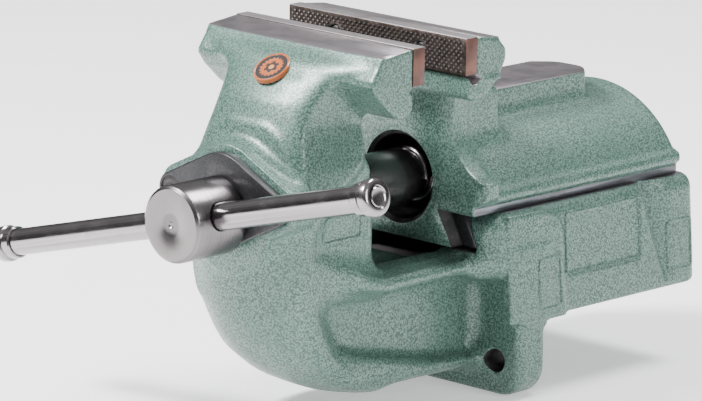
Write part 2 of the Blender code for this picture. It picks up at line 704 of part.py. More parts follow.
# ---------------------------------------------------------------- sliding jaw
def barrel_outline(radius, bottom):
    """Half-round housing section in X, Z, cut off level at the bottom."""
    angle = math.degrees(math.asin((bottom - BARREL_CENTRE) / radius))
    return arc((0, BARREL_CENTRE), radius, angle, 180 - angle, 28)


def sliding_jaw(parent, material):
    """The whole sliding casting."""
    body = prism(
        "sliding_jaw", jaw_end_outline(SLIDING_SEAT, SLIDING_NOSE_REACH, 1),
        -HALF_JAW, HALF_JAW, "X", parent, material,
    )
    bead_top = SKIRT_BOTTOM + 5 * MM + BEAD_HEIGHT
    bead_half = SKIRT_HALF_WIDTH + BEAD_PROUD
    bead_outline = rounded([
        (bead_half, bead_top - 2 * MM, 2 * MM), (bead_half, bead_top - BEAD_HEIGHT + 1 * MM, 2 * MM),
        (SKIRT_HALF_WIDTH - 3 * MM, bead_top - BEAD_HEIGHT, 0),
        (-SKIRT_HALF_WIDTH + 3 * MM, bead_top - BEAD_HEIGHT, 0),
        (-bead_half, bead_top - BEAD_HEIGHT + 1 * MM, 2 * MM), (-bead_half, bead_top - 2 * MM, 2 * MM),
    ])
    skirt_outline = [
        (SKIRT_HALF_WIDTH, bead_top - 3 * MM), (SKIRT_HALF_WIDTH, SKIRT_BOTTOM),
        (-SKIRT_HALF_WIDTH, SKIRT_BOTTOM), (-SKIRT_HALF_WIDTH, bead_top - 3 * MM),
    ]
    barrel_bottom = bead_top - 4 * MM
    tail_bottom = DOVETAIL_BOTTOM + GAP
    left_top = -(DOVETAIL_TOP_HALF_WIDTH - 2 * GAP)
    right_top = DOVETAIL_TOP_HALF_WIDTH - GIB_THICKNESS - 4 * GAP
    drop = GUIDE_TOP - tail_bottom
    tail_outline = [
        (right_top, SKIRT_BOTTOM + 3 * MM), (right_top, GUIDE_TOP),
        (right_top + drop * DOVETAIL_FLARE, tail_bottom),
        (left_top - drop * DOVETAIL_FLARE, tail_bottom),
        (left_top, GUIDE_TOP), (left_top, SKIRT_BOTTOM + 3 * MM),
    ]
    pad_back = SLIDE_BACK - PAD_END_FROM_BACK
    pad_front = pad_back - PAD_LENGTH
    pad_outline = rounded([
        (PAD_HALF_WIDTH, pad_front, 3 * MM), (PAD_HALF_WIDTH, pad_back, 10 * MM),
        (-PAD_HALF_WIDTH, pad_back, 10 * MM), (-PAD_HALF_WIDTH, pad_front, 3 * MM),
    ])
    column_outline = [
        (COLUMN_HALF_WIDTH + NOTCH_RADIUS, JAW_TOP - HOOK_DEPTH + 8 * MM),
        (COLUMN_HALF_WIDTH + NOTCH_RADIUS, 12 * MM), (0, 0),
        (-COLUMN_HALF_WIDTH - NOTCH_RADIUS, 12 * MM),
        (-COLUMN_HALF_WIDTH - NOTCH_RADIUS, JAW_TOP - HOOK_DEPTH + 8 * MM),
    ]
    column = prism("column", column_outline, SLIDE_FRONT, SLIDE_FRONT + COLUMN_FLARE_LENGTH, "Y", parent)
    column_top = prism("column_top", [
        (SLIDE_FRONT, PLATE_BOTTOM - 8 * MM), (SLIDE_FRONT, 20 * MM),
        (SLIDE_FRONT + COLUMN_LENGTH, 20 * MM),
        (SLIDE_FRONT + COLUMN_LENGTH - 2 * MM, PLATE_BOTTOM - 14 * MM),
        (SLIDING_SEAT + 16 * MM, PLATE_BOTTOM + 2 * MM), (SLIDING_SEAT + 6 * MM, PLATE_BOTTOM + 2 * MM),
    ], -COLUMN_HALF_WIDTH + 0.5 * MM, COLUMN_HALF_WIDTH - 0.5 * MM, "X", parent)
    for name, side in (("left", -1), ("right", 1)):
        cut(column, rod(
            f"column_notch_{name}", NOTCH_RADIUS,
            SLIDE_FRONT - 5 * MM, SLIDE_FRONT + COLUMN_FLARE_LENGTH + 5 * MM,
            parent, None, ROUND_SEGMENTS, (side * (COLUMN_HALF_WIDTH + NOTCH_RADIUS), 33 * MM),
        ))
    join(
        body,
        prism("barrel", barrel_outline(BARREL_RADIUS, barrel_bottom), SLIDE_FRONT, SLIDE_BACK, "Y", parent),
        prism("bead", bead_outline, SLIDE_FRONT, SLIDE_BACK, "Y", parent),
        prism("skirt", skirt_outline, SLIDE_FRONT, SLIDE_BACK, "Y", parent),
        prism("dovetail", tail_outline, SLIDE_FRONT, SLIDE_BACK, "Y", parent),
        prism("anvil_pad", pad_outline, 10 * MM, PAD_TOP, "Z", parent),
        column,
        column_top,
    )
    cavity_outline = barrel_outline(CAVITY_RADIUS, CAVITY_FLOOR)
    cut(
        body,
        prism("housing_cavity", cavity_outline, NUT_WALL, SLIDE_BACK + 5 * MM, "Y", parent),
        rod("slide_bore", SLIDE_BORE_RADIUS, SLIDE_FRONT - 5 * MM, SLIDE_FRONT + SLIDE_BORE_DEPTH, parent),
        rod("nut_bore", NUT_RADIUS + GAP, SLIDE_FRONT - 4 * MM, NUT_WALL + 5 * MM, parent),
    )
    for name, side in (("left", -1), ("right", 1)):
        nut_hole = (side * NUT_SCREW_SPACING / 2, 0)
        nut_hole_front = NUT_BACK - NUT_SCREW_LENGTH - 2 * GAP
        plate_hole = (side * PLATE_SCREW_SPACING / 2, PLATE_MIDDLE)
        plate_hole_end = REST_OPENING + PLATE_SCREW_RECESS + PLATE_SCREW_LENGTH + 2 * GAP
        cut(
            body,
            rod(f"nut_screw_hole_{name}", NUT_SCREW_RADIUS + GAP, nut_hole_front, NUT_WALL + 4 * MM,
                parent, None, SMALL_SEGMENTS, nut_hole),
            rod(f"sliding_screw_hole_{name}", PLATE_SCREW_RADIUS + GAP, SLIDING_SEAT - 3 * MM, plate_hole_end,
                parent, None, SMALL_SEGMENTS, plate_hole),
        )
    weld(body)
    return body


# ---------------------------------------------------------------- spindle, flange and nut
def spindle(parent, material):
    """Head, groove, smooth shank and thread, the thread at its outside diameter."""
    profile = [
        (0, HEAD_FRONT), (HEAD_RADIUS - HEAD_CHAMFER, HEAD_FRONT), (HEAD_RADIUS, HEAD_FRONT + HEAD_CHAMFER),
        (HEAD_RADIUS, HEAD_BACK - 0.8 * MM), (HEAD_RADIUS - 0.8 * MM, HEAD_BACK),
        (GROOVE_RADIUS, HEAD_BACK), (GROOVE_RADIUS, -BOSS_REACH), (SPINDLE_RADIUS, -BOSS_REACH),
        (SPINDLE_RADIUS, THREAD_START), (SPINDLE_RADIUS, SPINDLE_END - 2 * MM),
        (SPINDLE_RADIUS - 2 * MM, SPINDLE_END), (0, SPINDLE_END),
    ]
    screw = turned("spindle", profile, parent, material)
    bar_way = rod("bar_hole", BAR_RADIUS + GAP, -HEAD_RADIUS - 10 * MM, HEAD_RADIUS + 10 * MM, parent)
    bar_way.rotation_euler = (BAR_TILT, 0, -math.pi / 2)
    bar_way.location = (0, BAR_LEVEL, 0)
    cut(screw, bar_way)
    return screw


def spindle_flange(parent, material):
    """Black retaining plate with a slot, open below, that sits in the spindle's groove."""
    back = FLANGE_FRONT + FLANGE_THICKNESS
    plate = prism("spindle_flange", flange_outline(), FLANGE_FRONT, back, "Y", parent, material)
    slot = GROOVE_RADIUS + GAP
    outline = arc((0, 0), slot, 0, 180, 24) + [(-slot, -FLANGE_RADIUS), (slot, -FLANGE_RADIUS)]
    cut(plate, prism("flange_slot", outline, FLANGE_FRONT - 3 * MM, back + 3 * MM, "Y", parent))
    for name, side in (("left", -1), ("right", 1)):
        ear = (side * FLANGE_EAR_REACH, FLANGE_RISE)
        sink = countersunk_profile(FLANGE_SCREW_RADIUS + GAP, FLANGE_FRONT - 1 * MM, back + 3 * MM, 1 * MM)
        cut(plate, turned(f"flange_countersink_{name}", sink, parent, None, SMALL_SEGMENTS, ear))
    return plate


def countersunk_profile(radius, front, end, lead=0.0):
    """Countersunk screw or its hole: a cone down to the shank; lead lengthens the cone forward."""
    head = radius + 3 * MM
    return [
        (0, front), (head + lead, front), (radius, front + 3 * MM + lead),
        (radius, end - 0.8 * MM), (radius - 0.8 * MM, end), (0, end),
    ]


def flange_screws(parent, material):
    """Two countersunk screws that hold the retaining plate."""
    for name, side in (("left", -1), ("right", 1)):
        ear = (side * FLANGE_EAR_REACH, FLANGE_RISE)
        head_end = FLANGE_FRONT + GAP
        profile = countersunk_profile(FLANGE_SCREW_RADIUS, head_end, FLANGE_FRONT + FLANGE_SCREW_LENGTH)
        slotted_screw(f"flange_screw_{name}", profile, head_end, 1.5 * MM, parent, material, ear, 8 * MM)


def spindle_nut(parent, material):
    """Nut pressed against the housing wall from behind, with a flange for two screws."""
    bore = SPINDLE_RADIUS + GAP
    nut = rod("spindle_nut", NUT_RADIUS, NUT_FRONT, NUT_WALL + 2 * MM, parent, material)
    half_width = NUT_FLANGE_HALF_WIDTH
    roof = CAVITY_RADIUS - NUT_FLANGE_CLEARANCE
    shoulder = math.degrees(math.acos(half_width / roof))
    bottom = CAVITY_FLOOR + NUT_FLANGE_CLEARANCE
    outline = arc((0, BARREL_CENTRE), roof, shoulder, 180 - shoulder, 12) + rounded([
        (-half_width, bottom, 6 * MM), (half_width, bottom, 6 * MM),
    ] + [(0, 0, 0)])[:-1]
    join(nut, prism("nut_flange", outline, NUT_WALL + GAP, NUT_BACK, "Y", parent))
    cut(nut, rod("nut_thread", bore, NUT_FRONT - 5 * MM, NUT_BACK + 5 * MM, parent))
    for name, side in (("left", -1), ("right", 1)):
        centre = (side * NUT_SCREW_SPACING / 2, 0)
        cut(nut, rod(f"nut_hole_{name}", NUT_SCREW_RADIUS + GAP, NUT_WALL - 5 * MM, NUT_BACK + 4 * MM,
                     parent, None, SMALL_SEGMENTS, centre))
    return nut


def nut_screws(parent, material):
    """Two cheese-head screws through the nut's flange."""
    head_start = NUT_BACK + GAP
    head_end = head_start + NUT_SCREW_HEAD_HEIGHT
    tip = NUT_BACK - NUT_SCREW_LENGTH
    for name, side in (("left", -1), ("right", 1)):
        profile = [
            (0, head_end), (NUT_SCREW_HEAD_RADIUS - 0.5 * MM, head_end),
            (NUT_SCREW_HEAD_RADIUS, head_end - 0.5 * MM), (NUT_SCREW_HEAD_RADIUS, head_start),
            (NUT_SCREW_RADIUS, head_start), (NUT_SCREW_RADIUS, tip + 0.8 * MM),
            (NUT_SCREW_RADIUS - 0.8 * MM, tip), (0, tip),
        ]
        slotted_screw(f"nut_screw_{name}", profile, head_end, 1.5 * MM, parent, material,
                      (side * NUT_SCREW_SPACING / 2, 0), NUT_SCREW_HEAD_RADIUS + 1 * MM)


# ---------------------------------------------------------------- tommy bar
def handle(parent, material, cap_material):
    """Bar with a cap riveted on each end, drawn along its own Y axis through the head."""
    half = BAR_LENGTH / 2
    shoulder = half - CAP_LENGTH
    rivet = half - 0.8 * MM
    profile = [
        (0, -half), (RIVET_RADIUS - 0.8 * MM, -half), (RIVET_RADIUS, -rivet), (RIVET_RADIUS, -shoulder),
        (BAR_RADIUS, -shoulder), (BAR_RADIUS, shoulder),
        (RIVET_RADIUS, shoulder), (RIVET_RADIUS, rivet), (RIVET_RADIUS - 0.8 * MM, half), (0, half),
    ]
    turned("handle_bar", profile, parent, material, 32)
    inner = RIVET_RADIUS + GAP
    for name, side in (("left", -1), ("right", 1)):
        start = side * (shoulder + GAP)
        sleeve = start + side * CAP_SLEEVE_LENGTH
        groove = sleeve + side * 1 * MM
        end = side * (half - 0.4 * MM)
        turned(f"handle_cap_{name}", [
            (inner, start), (CAP_SLEEVE_RADIUS - 0.4 * MM, start),
            (CAP_SLEEVE_RADIUS, start + side * 0.4 * MM), (CAP_SLEEVE_RADIUS, sleeve),
            (CAP_RADIUS - 0.6 * MM, groove), (CAP_RADIUS, groove + side * 0.6 * MM),
            (CAP_RADIUS, end - side * 1.4 * MM), (CAP_RADIUS - 1.4 * MM, end), (inner, end),
        ], parent, cap_material, 32)


# ---------------------------------------------------------------- gib and badge
def taper_gib(parent, material):
    """Adjusting strip between the right flanks of the two dovetails."""
    top = GUIDE_TOP - 2 * GAP
    bottom = DOVETAIL_BOTTOM
    outer_top = dovetail_half_width(top, DOVETAIL_TOP_HALF_WIDTH) - GAP
    outer_bottom = dovetail_half_width(bottom, DOVETAIL_TOP_HALF_WIDTH) - GAP
    outline = [
        (outer_top, top), (outer_bottom, bottom),
        (outer_bottom - GIB_THICKNESS, bottom), (outer_top - GIB_THICKNESS, top),
    ]
    return prism("taper_gib", outline, GIB_FRONT, GIB_BACK, "Y", parent, material)


def gib_screw(parent, material):
    """Screw in the guide's back end whose head holds the gib in place."""
    head_front = GUIDE_BACK - GIB_SCREW_HEAD_THICKNESS
    tip = GUIDE_BACK - GIB_SCREW_LENGTH
    profile = [
        (0, GUIDE_BACK), (GIB_SCREW_HEAD_RADIUS - 0.5 * MM, GUIDE_BACK),
        (GIB_SCREW_HEAD_RADIUS, GUIDE_BACK - 0.5 * MM), (GIB_SCREW_HEAD_RADIUS, head_front),
        (GIB_SCREW_RADIUS, head_front), (GIB_SCREW_RADIUS, tip + 0.8 * MM),
        (GIB_SCREW_RADIUS - 0.8 * MM, tip), (0, tip),
    ]
    return slotted_screw("gib_screw", profile, GUIDE_BACK, 1.5 * MM, parent, material,
                         gib_screw_centre(), GIB_SCREW_HEAD_RADIUS + 1 * MM)


def badge(parent, material):
    """Round enamel badge on the sloping front of the neck."""
    holder = add_empty("badge_seat", parent, (0, -BADGE_REACH, BADGE_HEIGHT), (-BADGE_LEAN, 0, 0))
    profile = [
        (0, -BADGE_THICKNESS), (BADGE_RADIUS - 0.4 * MM, -BADGE_THICKNESS),
        (BADGE_RADIUS, -BADGE_THICKNESS + 0.4 * MM), (BADGE_RADIUS, 0), (0, 0),
    ]
    return turned("badge", profile, holder, material, 32)


def main():
    clear_scene()
    paint = make_material("green_hammer_paint", (0.13, 0.27, 0.22), 0.4, 0.3)
    slide_paint = make_material("green_hammer_paint_slide", (0.13, 0.27, 0.22), 0.4, 0.3)
    bright = make_material("turned_steel", (0.55, 0.53, 0.52), 0.25, 1.0)
    bar_steel = make_material("bar_steel", (0.55, 0.52, 0.53), 0.25, 1.0)
    cap_steel = make_material("cap_steel", (0.6, 0.58, 0.58), 0.25, 1.0)
    plate_steel = make_material("hardened_plate_steel", (0.2, 0.19, 0.18), 0.4, 0.9)
    screw_steel = make_material("dark_screw_steel", (0.1, 0.1, 0.1), 0.45, 0.8)
    black = make_material("black_oxide_steel", (0.03, 0.03, 0.035), 0.4, 0.5)
    nut_steel = make_material("nut_steel", (0.3, 0.29, 0.28), 0.4, 1.0)
    enamel = make_material("badge_enamel", (0.7, 0.25, 0.05), 0.3, 0.0)

    drawing = add_empty("vise", None, (0, -SEAT_CENTRE, SPINDLE_ABOVE_SEAT))
    slide_axis = add_empty("slide_axis", drawing)
    spindle_axis = add_empty("spindle_axis", drawing)
    bar_axis = add_empty("bar_axis", spindle_axis, (0, BAR_LEVEL, 0), (BAR_TILT, 0, -math.pi / 2))
    bar_rest = add_empty("bar_rest", bar_axis, (0, BAR_OFFSET, 0))

    fixed_body(drawing, paint)
    jaw_plate("front_jaw_plate", -PLATE_THICKNESS, drawing, plate_steel)
    plate_screws("front", 0.0, -1, drawing, screw_steel)
    spindle_flange(drawing, black)
    flange_screws(drawing, screw_steel)
    taper_gib(drawing, nut_steel)
    gib_screw(drawing, screw_steel)
    badge(drawing, enamel)

    sliding_jaw(slide_axis, slide_paint)
    jaw_plate("rear_jaw_plate", REST_OPENING, slide_axis, plate_steel)
    plate_screws("rear", REST_OPENING, 1, slide_axis, screw_steel)
    spindle_nut(slide_axis, nut_steel)
    nut_screws(slide_axis, screw_steel)

    spindle(spindle_axis, bright)
    handle(bar_rest, bar_steel, cap_steel)


main()
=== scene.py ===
"""Bench vise: the finished look of every piece, built over the frame's fixed solids.

Everything is drawn in millimetres from two references: y = 0 is the fixed jaw's gripping
face and z = 0 is the spindle's axis. X runs along the jaws and +Y points to the back.
"""

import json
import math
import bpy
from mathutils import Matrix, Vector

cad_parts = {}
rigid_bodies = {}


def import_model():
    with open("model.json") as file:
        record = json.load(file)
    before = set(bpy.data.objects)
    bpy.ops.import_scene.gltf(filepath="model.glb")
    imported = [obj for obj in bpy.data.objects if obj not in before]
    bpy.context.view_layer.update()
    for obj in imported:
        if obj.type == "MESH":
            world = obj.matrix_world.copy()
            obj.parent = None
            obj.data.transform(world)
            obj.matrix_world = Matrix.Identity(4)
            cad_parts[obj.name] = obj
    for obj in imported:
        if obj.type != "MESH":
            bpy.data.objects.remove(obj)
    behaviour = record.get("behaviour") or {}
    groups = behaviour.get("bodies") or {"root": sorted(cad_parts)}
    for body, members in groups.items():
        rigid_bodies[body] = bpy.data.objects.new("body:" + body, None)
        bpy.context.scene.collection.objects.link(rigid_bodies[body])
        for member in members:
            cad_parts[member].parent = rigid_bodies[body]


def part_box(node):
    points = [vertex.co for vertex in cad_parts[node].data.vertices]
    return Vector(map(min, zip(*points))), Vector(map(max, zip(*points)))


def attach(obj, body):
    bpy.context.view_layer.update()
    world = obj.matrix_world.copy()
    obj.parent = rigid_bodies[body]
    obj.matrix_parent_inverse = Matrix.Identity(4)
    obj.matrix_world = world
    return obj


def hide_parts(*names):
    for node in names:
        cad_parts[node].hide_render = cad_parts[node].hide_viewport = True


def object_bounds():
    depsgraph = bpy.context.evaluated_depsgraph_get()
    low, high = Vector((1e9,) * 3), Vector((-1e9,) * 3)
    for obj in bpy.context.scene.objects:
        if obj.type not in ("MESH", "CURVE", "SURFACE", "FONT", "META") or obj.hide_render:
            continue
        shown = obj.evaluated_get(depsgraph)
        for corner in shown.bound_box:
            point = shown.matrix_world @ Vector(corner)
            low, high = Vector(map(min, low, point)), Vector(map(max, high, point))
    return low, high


bl_info = {
    "name": "Bench Vise",
    "version": (1, 0, 0),
    "blender": (4, 5, 0),
    "location": "3D View > Sidebar > Bench Vise",
    "description": "Builds a bench vise with a dovetail slide, knurled jaws and a tommy bar",
    "category": "Add Mesh",
}

import bmesh
import bpy
import numpy as np
from bpy.props import FloatProperty, FloatVectorProperty, IntProperty, PointerProperty
from mathutils import Matrix, Vector

for leftover in list(bpy.data.objects):
    bpy.data.objects.remove(leftover, do_unlink=True)
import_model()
CAD_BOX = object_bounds()

MM = 0.001
PLATE_LOW, PLATE_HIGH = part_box("front_jaw_plate")
SPINDLE_LOW, SPINDLE_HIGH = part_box("spindle")
DRAWING = Vector((0, PLATE_HIGH.y, (SPINDLE_LOW.z + SPINDLE_HIGH.z) / 2))


def drawn(node):
    """A frame node's lowest and highest corner, in the drawing's millimetres."""
    low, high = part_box(node)
    return (low - DRAWING) / MM, (high - DRAWING) / MM


GAP = 0.3
PLATE_LOW, PLATE_HIGH = drawn("front_jaw_plate")
REAR_LOW, REAR_HIGH = drawn("rear_jaw_plate")
SPINDLE_LOW, SPINDLE_HIGH = drawn("spindle")
FLANGE_LOW, FLANGE_HIGH = drawn("spindle_flange")
SLIDE_HIGH = drawn("sliding_jaw")[1]
BODY_LOW, BODY_HIGH = drawn("fixed_body")
NUT_LOW, NUT_HIGH = drawn("spindle_nut")
GIB_LOW, GIB_HIGH = drawn("taper_gib")
GIB_SCREW_LOW, GIB_SCREW_HIGH = drawn("gib_screw")

HALF_JAW = PLATE_HIGH.x
JAW_TOP = PLATE_HIGH.z
PLATE_BOTTOM = PLATE_LOW.z
PLATE_MIDDLE = (JAW_TOP + PLATE_BOTTOM) / 2
FIXED_SEAT = PLATE_LOW.y - GAP
SLIDING_GRIP = REAR_LOW.y
SLIDING_SEAT = REAR_HIGH.y + GAP
SCREW_SPACING = 60.0
SPINDLE_RADIUS = 15.0
HEAD_RADIUS = SPINDLE_HIGH.x
HEAD_LENGTH = 34.1
HEAD_FRONT = SPINDLE_LOW.y
HEAD_BACK = HEAD_FRONT + HEAD_LENGTH
SHANK_LENGTH = 133.0
THREAD_START = HEAD_BACK + SHANK_LENGTH
BOSS_FACE = FLANGE_HIGH.y + GAP
FLANGE_RISE = 7.5
FLANGE_EAR = 35.5
BAR_RADIUS = 7.0
BAR_TILT = math.radians(14.7)
BAR_OFFSET = -8.0
BAR_LENGTH = 275.0
TUNNEL_BACK = -3.0
THROAT_FLOOR = -36.5
GUIDE_FRONT = 55.0
GUIDE_BACK = BODY_HIGH.y
GUIDE_TOP = -13.3
GUIDE_BOTTOM = -71.5
SEAT_LEVEL = -73.0
LUG_FRONT = 75.0
LUG_BACK = 95.0
SLIDE_FRONT = 48.0
SLIDE_BACK = SLIDE_HIGH.y
SKIRT_BOTTOM = GUIDE_TOP + 0.5
DOVETAIL_TOP = 38.0
DOVETAIL_BOTTOM = GUIDE_TOP - 18.0
DOVETAIL_FLARE = math.tan(math.radians(30))
PAD_TOP = 41.4
NUT_WALL = NUT_HIGH.y - 8.0 - GAP
GROOVE_RADIUS = 11.5
SPINDLE_WAY = 15.5
NUT_SCREW_SPREAD = 27.0
NUT_SCREW_HOLE = 2.8
PLATE_SCREW_HOLE = 3.3
FLANGE_SCREW_HOLE = 3.8
BOLT_HOLE = 6.25
BOLT_SPREAD = 46.0
BOLT_RISE = 19.0
BADGE_PLACE = (0, -46, 70)
BADGE_LEAN = math.radians(-55)
FINISHES = {}


# ---------------------------------------------------------------- shader values
class Value:
    """A socket whose arithmetic adds Math nodes to its material."""

    def __init__(self, finish, socket):
        self.finish = finish
        self.socket = socket

    def _math(self, operation, *operands):
        return self.finish.node("ShaderNodeMath", {"operation": operation}, dict(enumerate(operands)))

    def __add__(self, other):
        return self._math("ADD", self, other)

    def __radd__(self, other):
        return self._math("ADD", other, self)

    def __sub__(self, other):
        return self._math("SUBTRACT", self, other)

    def __rsub__(self, other):
        return self._math("SUBTRACT", other, self)

    def __mul__(self, other):
        return self._math("MULTIPLY", self, other)

    def __rmul__(self, other):
        return self._math("MULTIPLY", other, self)

    def __truediv__(self, other):
        return self._math("DIVIDE", self, other)

    def __pow__(self, other):
        return self._math("POWER", self, other)

    def __gt__(self, other):
        return self._math("GREATER_THAN", self, other)

    def __lt__(self, other):
        return self._math("LESS_THAN", self, other)


class Finish:
    """A material under construction."""

    def __init__(self, name):
        self.material = bpy.data.materials.new(name)
        self.material.use_nodes = True
        self.tree = self.material.node_tree
        self.shader = self.tree.nodes["Principled BSDF"]
        self.place = self.node("ShaderNodeTexCoord", out="Object")

    def node(self, kind, settings=None, inputs=None, out=0):
        """Add a node, make its settings, then set or link its sockets; returns one output."""
        node = self.tree.nodes.new(kind)
        for key, value in (settings or {}).items():
            if key == "stops":
                ramp = node.color_ramp
                while len(ramp.elements) < len(value):
                    ramp.elements.new(0.5)
                for element, (position, colour) in zip(ramp.elements, value):
                    element.position = position
                    element.color = (*colour, 1.0)
            else:
                setattr(node, key, value)
        for key, value in (inputs or {}).items():
            self.feed(node.inputs[key], value)
        return Value(self, node.outputs[out])

    def feed(self, socket, value):
        """Link a shader value to a socket, or set a plain number or colour on it."""
        if isinstance(value, Value):
            self.tree.links.new(value.socket, socket)
        elif isinstance(value, (tuple, list)) and len(value) == 3 and len(socket.default_value) == 4:
            socket.default_value = (*value, 1.0)
        else:
            socket.default_value = value

    def set(self, **inputs):
        """Feed the main shader's sockets; underscores stand for spaces."""
        for key, value in inputs.items():
            self.feed(self.shader.inputs[key.replace("_", " ")], value)

    def stretched(self, x, y, z):
        """Object coordinates in millimetres divided by a pattern size along each axis."""
        return self.node("ShaderNodeMapping", {"vector_type": "POINT"}, {
            "Vector": self.place, "Scale": (1 / (x * MM), 1 / (y * MM), 1 / (z * MM)),
        })

    def noise(self, x, y, z, detail=3.0, roughness=0.55, distortion=0.0):
        """Cloudy pattern with the given size in millimetres along each axis, about 0 to 1."""
        return self.node("ShaderNodeTexNoise", {}, {
            "Vector": self.stretched(x, y, z), "Scale": 1.0, "Detail": detail,
            "Roughness": roughness, "Distortion": distortion,
        })

    def cells(self, size, smooth=0.4, warp=None):
        """Distance to the middles of scattered cells of one size."""
        place = self.stretched(size, size, size)
        if warp is not None:
            place = self.node("ShaderNodeVectorMath", {"operation": "ADD"}, {0: place, 1: warp})
        return self.node("ShaderNodeTexVoronoi", {"feature": "SMOOTH_F1"}, {
            "Vector": place, "Scale": 1.0, "Smoothness": smooth,
        }, "Distance")

    def spread(self, value, low, high, bottom=0.0, top=1.0):
        """Map low..high onto bottom..top, smoothly and clamped."""
        return self.node("ShaderNodeMapRange", {"interpolation_type": "SMOOTHSTEP"}, {
            "Value": value, "From Min": low, "From Max": high, "To Min": bottom, "To Max": top,
        })

    def blend(self, factor, first, second, mode="MIX"):
        """Mix two colours."""
        node = self.tree.nodes.new("ShaderNodeMix")
        node.data_type = "RGBA"
        node.blend_type = mode
        self.feed(node.inputs[0], factor)
        self.feed(node.inputs[6], first)
        self.feed(node.inputs[7], second)
        return Value(self, node.outputs[2])

    def bump(self, height, distance, strength=1.0, below=None):
        """Surface relief in millimetres from a height of 0 to 1."""
        inputs = {"Height": height, "Distance": distance * MM, "Strength": strength}
        if below is not None:
            inputs["Normal"] = below
        return self.node("ShaderNodeBump", {}, inputs)

    def axes(self):
        """Object coordinates as three values in millimetres of the drawing."""
        parts = self.tree.nodes.new("ShaderNodeSeparateXYZ")
        self.feed(parts.inputs[0], self.place)
        found = [Value(self, parts.outputs[axis]) for axis in range(3)]
        return [(value - DRAWING[axis]) / MM for axis, value in enumerate(found)]


def hammer_paint():
    """Green hammered enamel: fine metallic dimples with darker rims round each one."""
    f = Finish("green_hammer_enamel")
    colours = bpy.context.scene.vise_colours
    warp = f.node("ShaderNodeTexNoise", {}, {"Vector": f.stretched(1.6, 1.6, 1.6), "Detail": 1.0}, "Color")
    dimples = f.cells(0.95, 0.55, warp)
    fine = f.noise(0.5, 0.5, 0.5, 2.0, 0.6)
    clouds = f.noise(22, 22, 22, 2.0)
    rim = f.spread(dimples, 0.2, 0.75)
    glint = f.spread(fine, 0.58, 0.72)
    tone = f.spread(rim * 0.55 + fine * 0.45, 0.25, 0.72)
    colour = f.blend(tone, tuple(colours.paint_light), tuple(colours.paint_dark))
    colour = f.blend(f.spread(clouds, 0.3, 0.75, 0.1, 0.4), colour, tuple(colours.paint))
    relief = f.bump(dimples, 0.13, 0.5)
    relief = f.bump(fine, 0.07, 0.4, relief)
    f.set(Base_Color=colour, Metallic=0.15 + 0.35 * glint, Roughness=0.30 + 0.14 * rim, Normal=relief,
          Coat_Weight=0.15, Coat_Roughness=0.16)
    return f.material


def machined_iron():
    """Ground faces on the castings: mauve-grey, faint cutter lines and oil stains."""
    f = Finish("machined_iron")
    colours = bpy.context.scene.vise_colours
    lines = f.noise(60, 0.35, 0.35, 2.0)
    cross = f.noise(0.5, 25, 25, 2.0)
    stains = f.noise(11, 11, 11, 4.0, 0.6)
    pores = f.cells(1.3, 0.1)
    specks = f.spread(pores, 0.10, 0.22, 1.0, 0.0) * f.spread(stains, 0.5, 0.7)
    tone = f.spread(lines * 0.6 + cross * 0.4, 0.35, 0.65)
    colour = f.blend(tone, tuple(colours.machined), (0.205, 0.185, 0.20))
    colour = f.blend(f.spread(stains, 0.45, 0.8, 0.0, 0.5), colour, (0.15, 0.122, 0.118))
    colour = f.blend(specks * 0.6, colour, (0.05, 0.045, 0.04))
    f.set(Base_Color=colour, Metallic=0.8, Roughness=f.spread(stains, 0.3, 0.8, 0.30, 0.48),
          Normal=f.bump(lines, 0.03, 0.3))
    return f.material


def strip_iron():
    """Ground side strips of the slide: blue-grey with lines along the travel."""
    f = Finish("ground_strip_iron")
    lines = f.noise(0.3, 60, 0.3, 2.0)
    stains = f.noise(5, 16, 5, 3.0, 0.6)
    colour = f.blend(f.spread(lines, 0.35, 0.65), (0.17, 0.18, 0.20), (0.10, 0.105, 0.12))
    colour = f.blend(f.spread(stains, 0.5, 0.75, 0.0, 0.5), colour, (0.08, 0.07, 0.065))
    f.set(Base_Color=colour, Metallic=0.85, Roughness=0.3 + 0.15 * stains, Normal=f.bump(lines, 0.02, 0.3))
    return f.material


def shaded_bore_iron():
    """Bores, slots and holes in the castings: iron coloured near black as painted shade inside them, with
    turning marks.
    """
    f = Finish("bore_iron_with_painted_shade")
    marks = f.noise(30, 0.5, 30, 2.0)
    stains = f.noise(8, 8, 8, 3.0)
    # painted shade: the near-black iron colour stands in for the shade inside bores, slots, holes and the
    # dovetail tail
    colour = f.blend(f.spread(stains, 0.35, 0.7), (0.020, 0.020, 0.021), (0.055, 0.053, 0.053))
    f.set(Base_Color=colour, Metallic=0.8, Roughness=0.55 + 0.15 * stains, Normal=f.bump(marks, 0.05, 0.4))
    return f.material


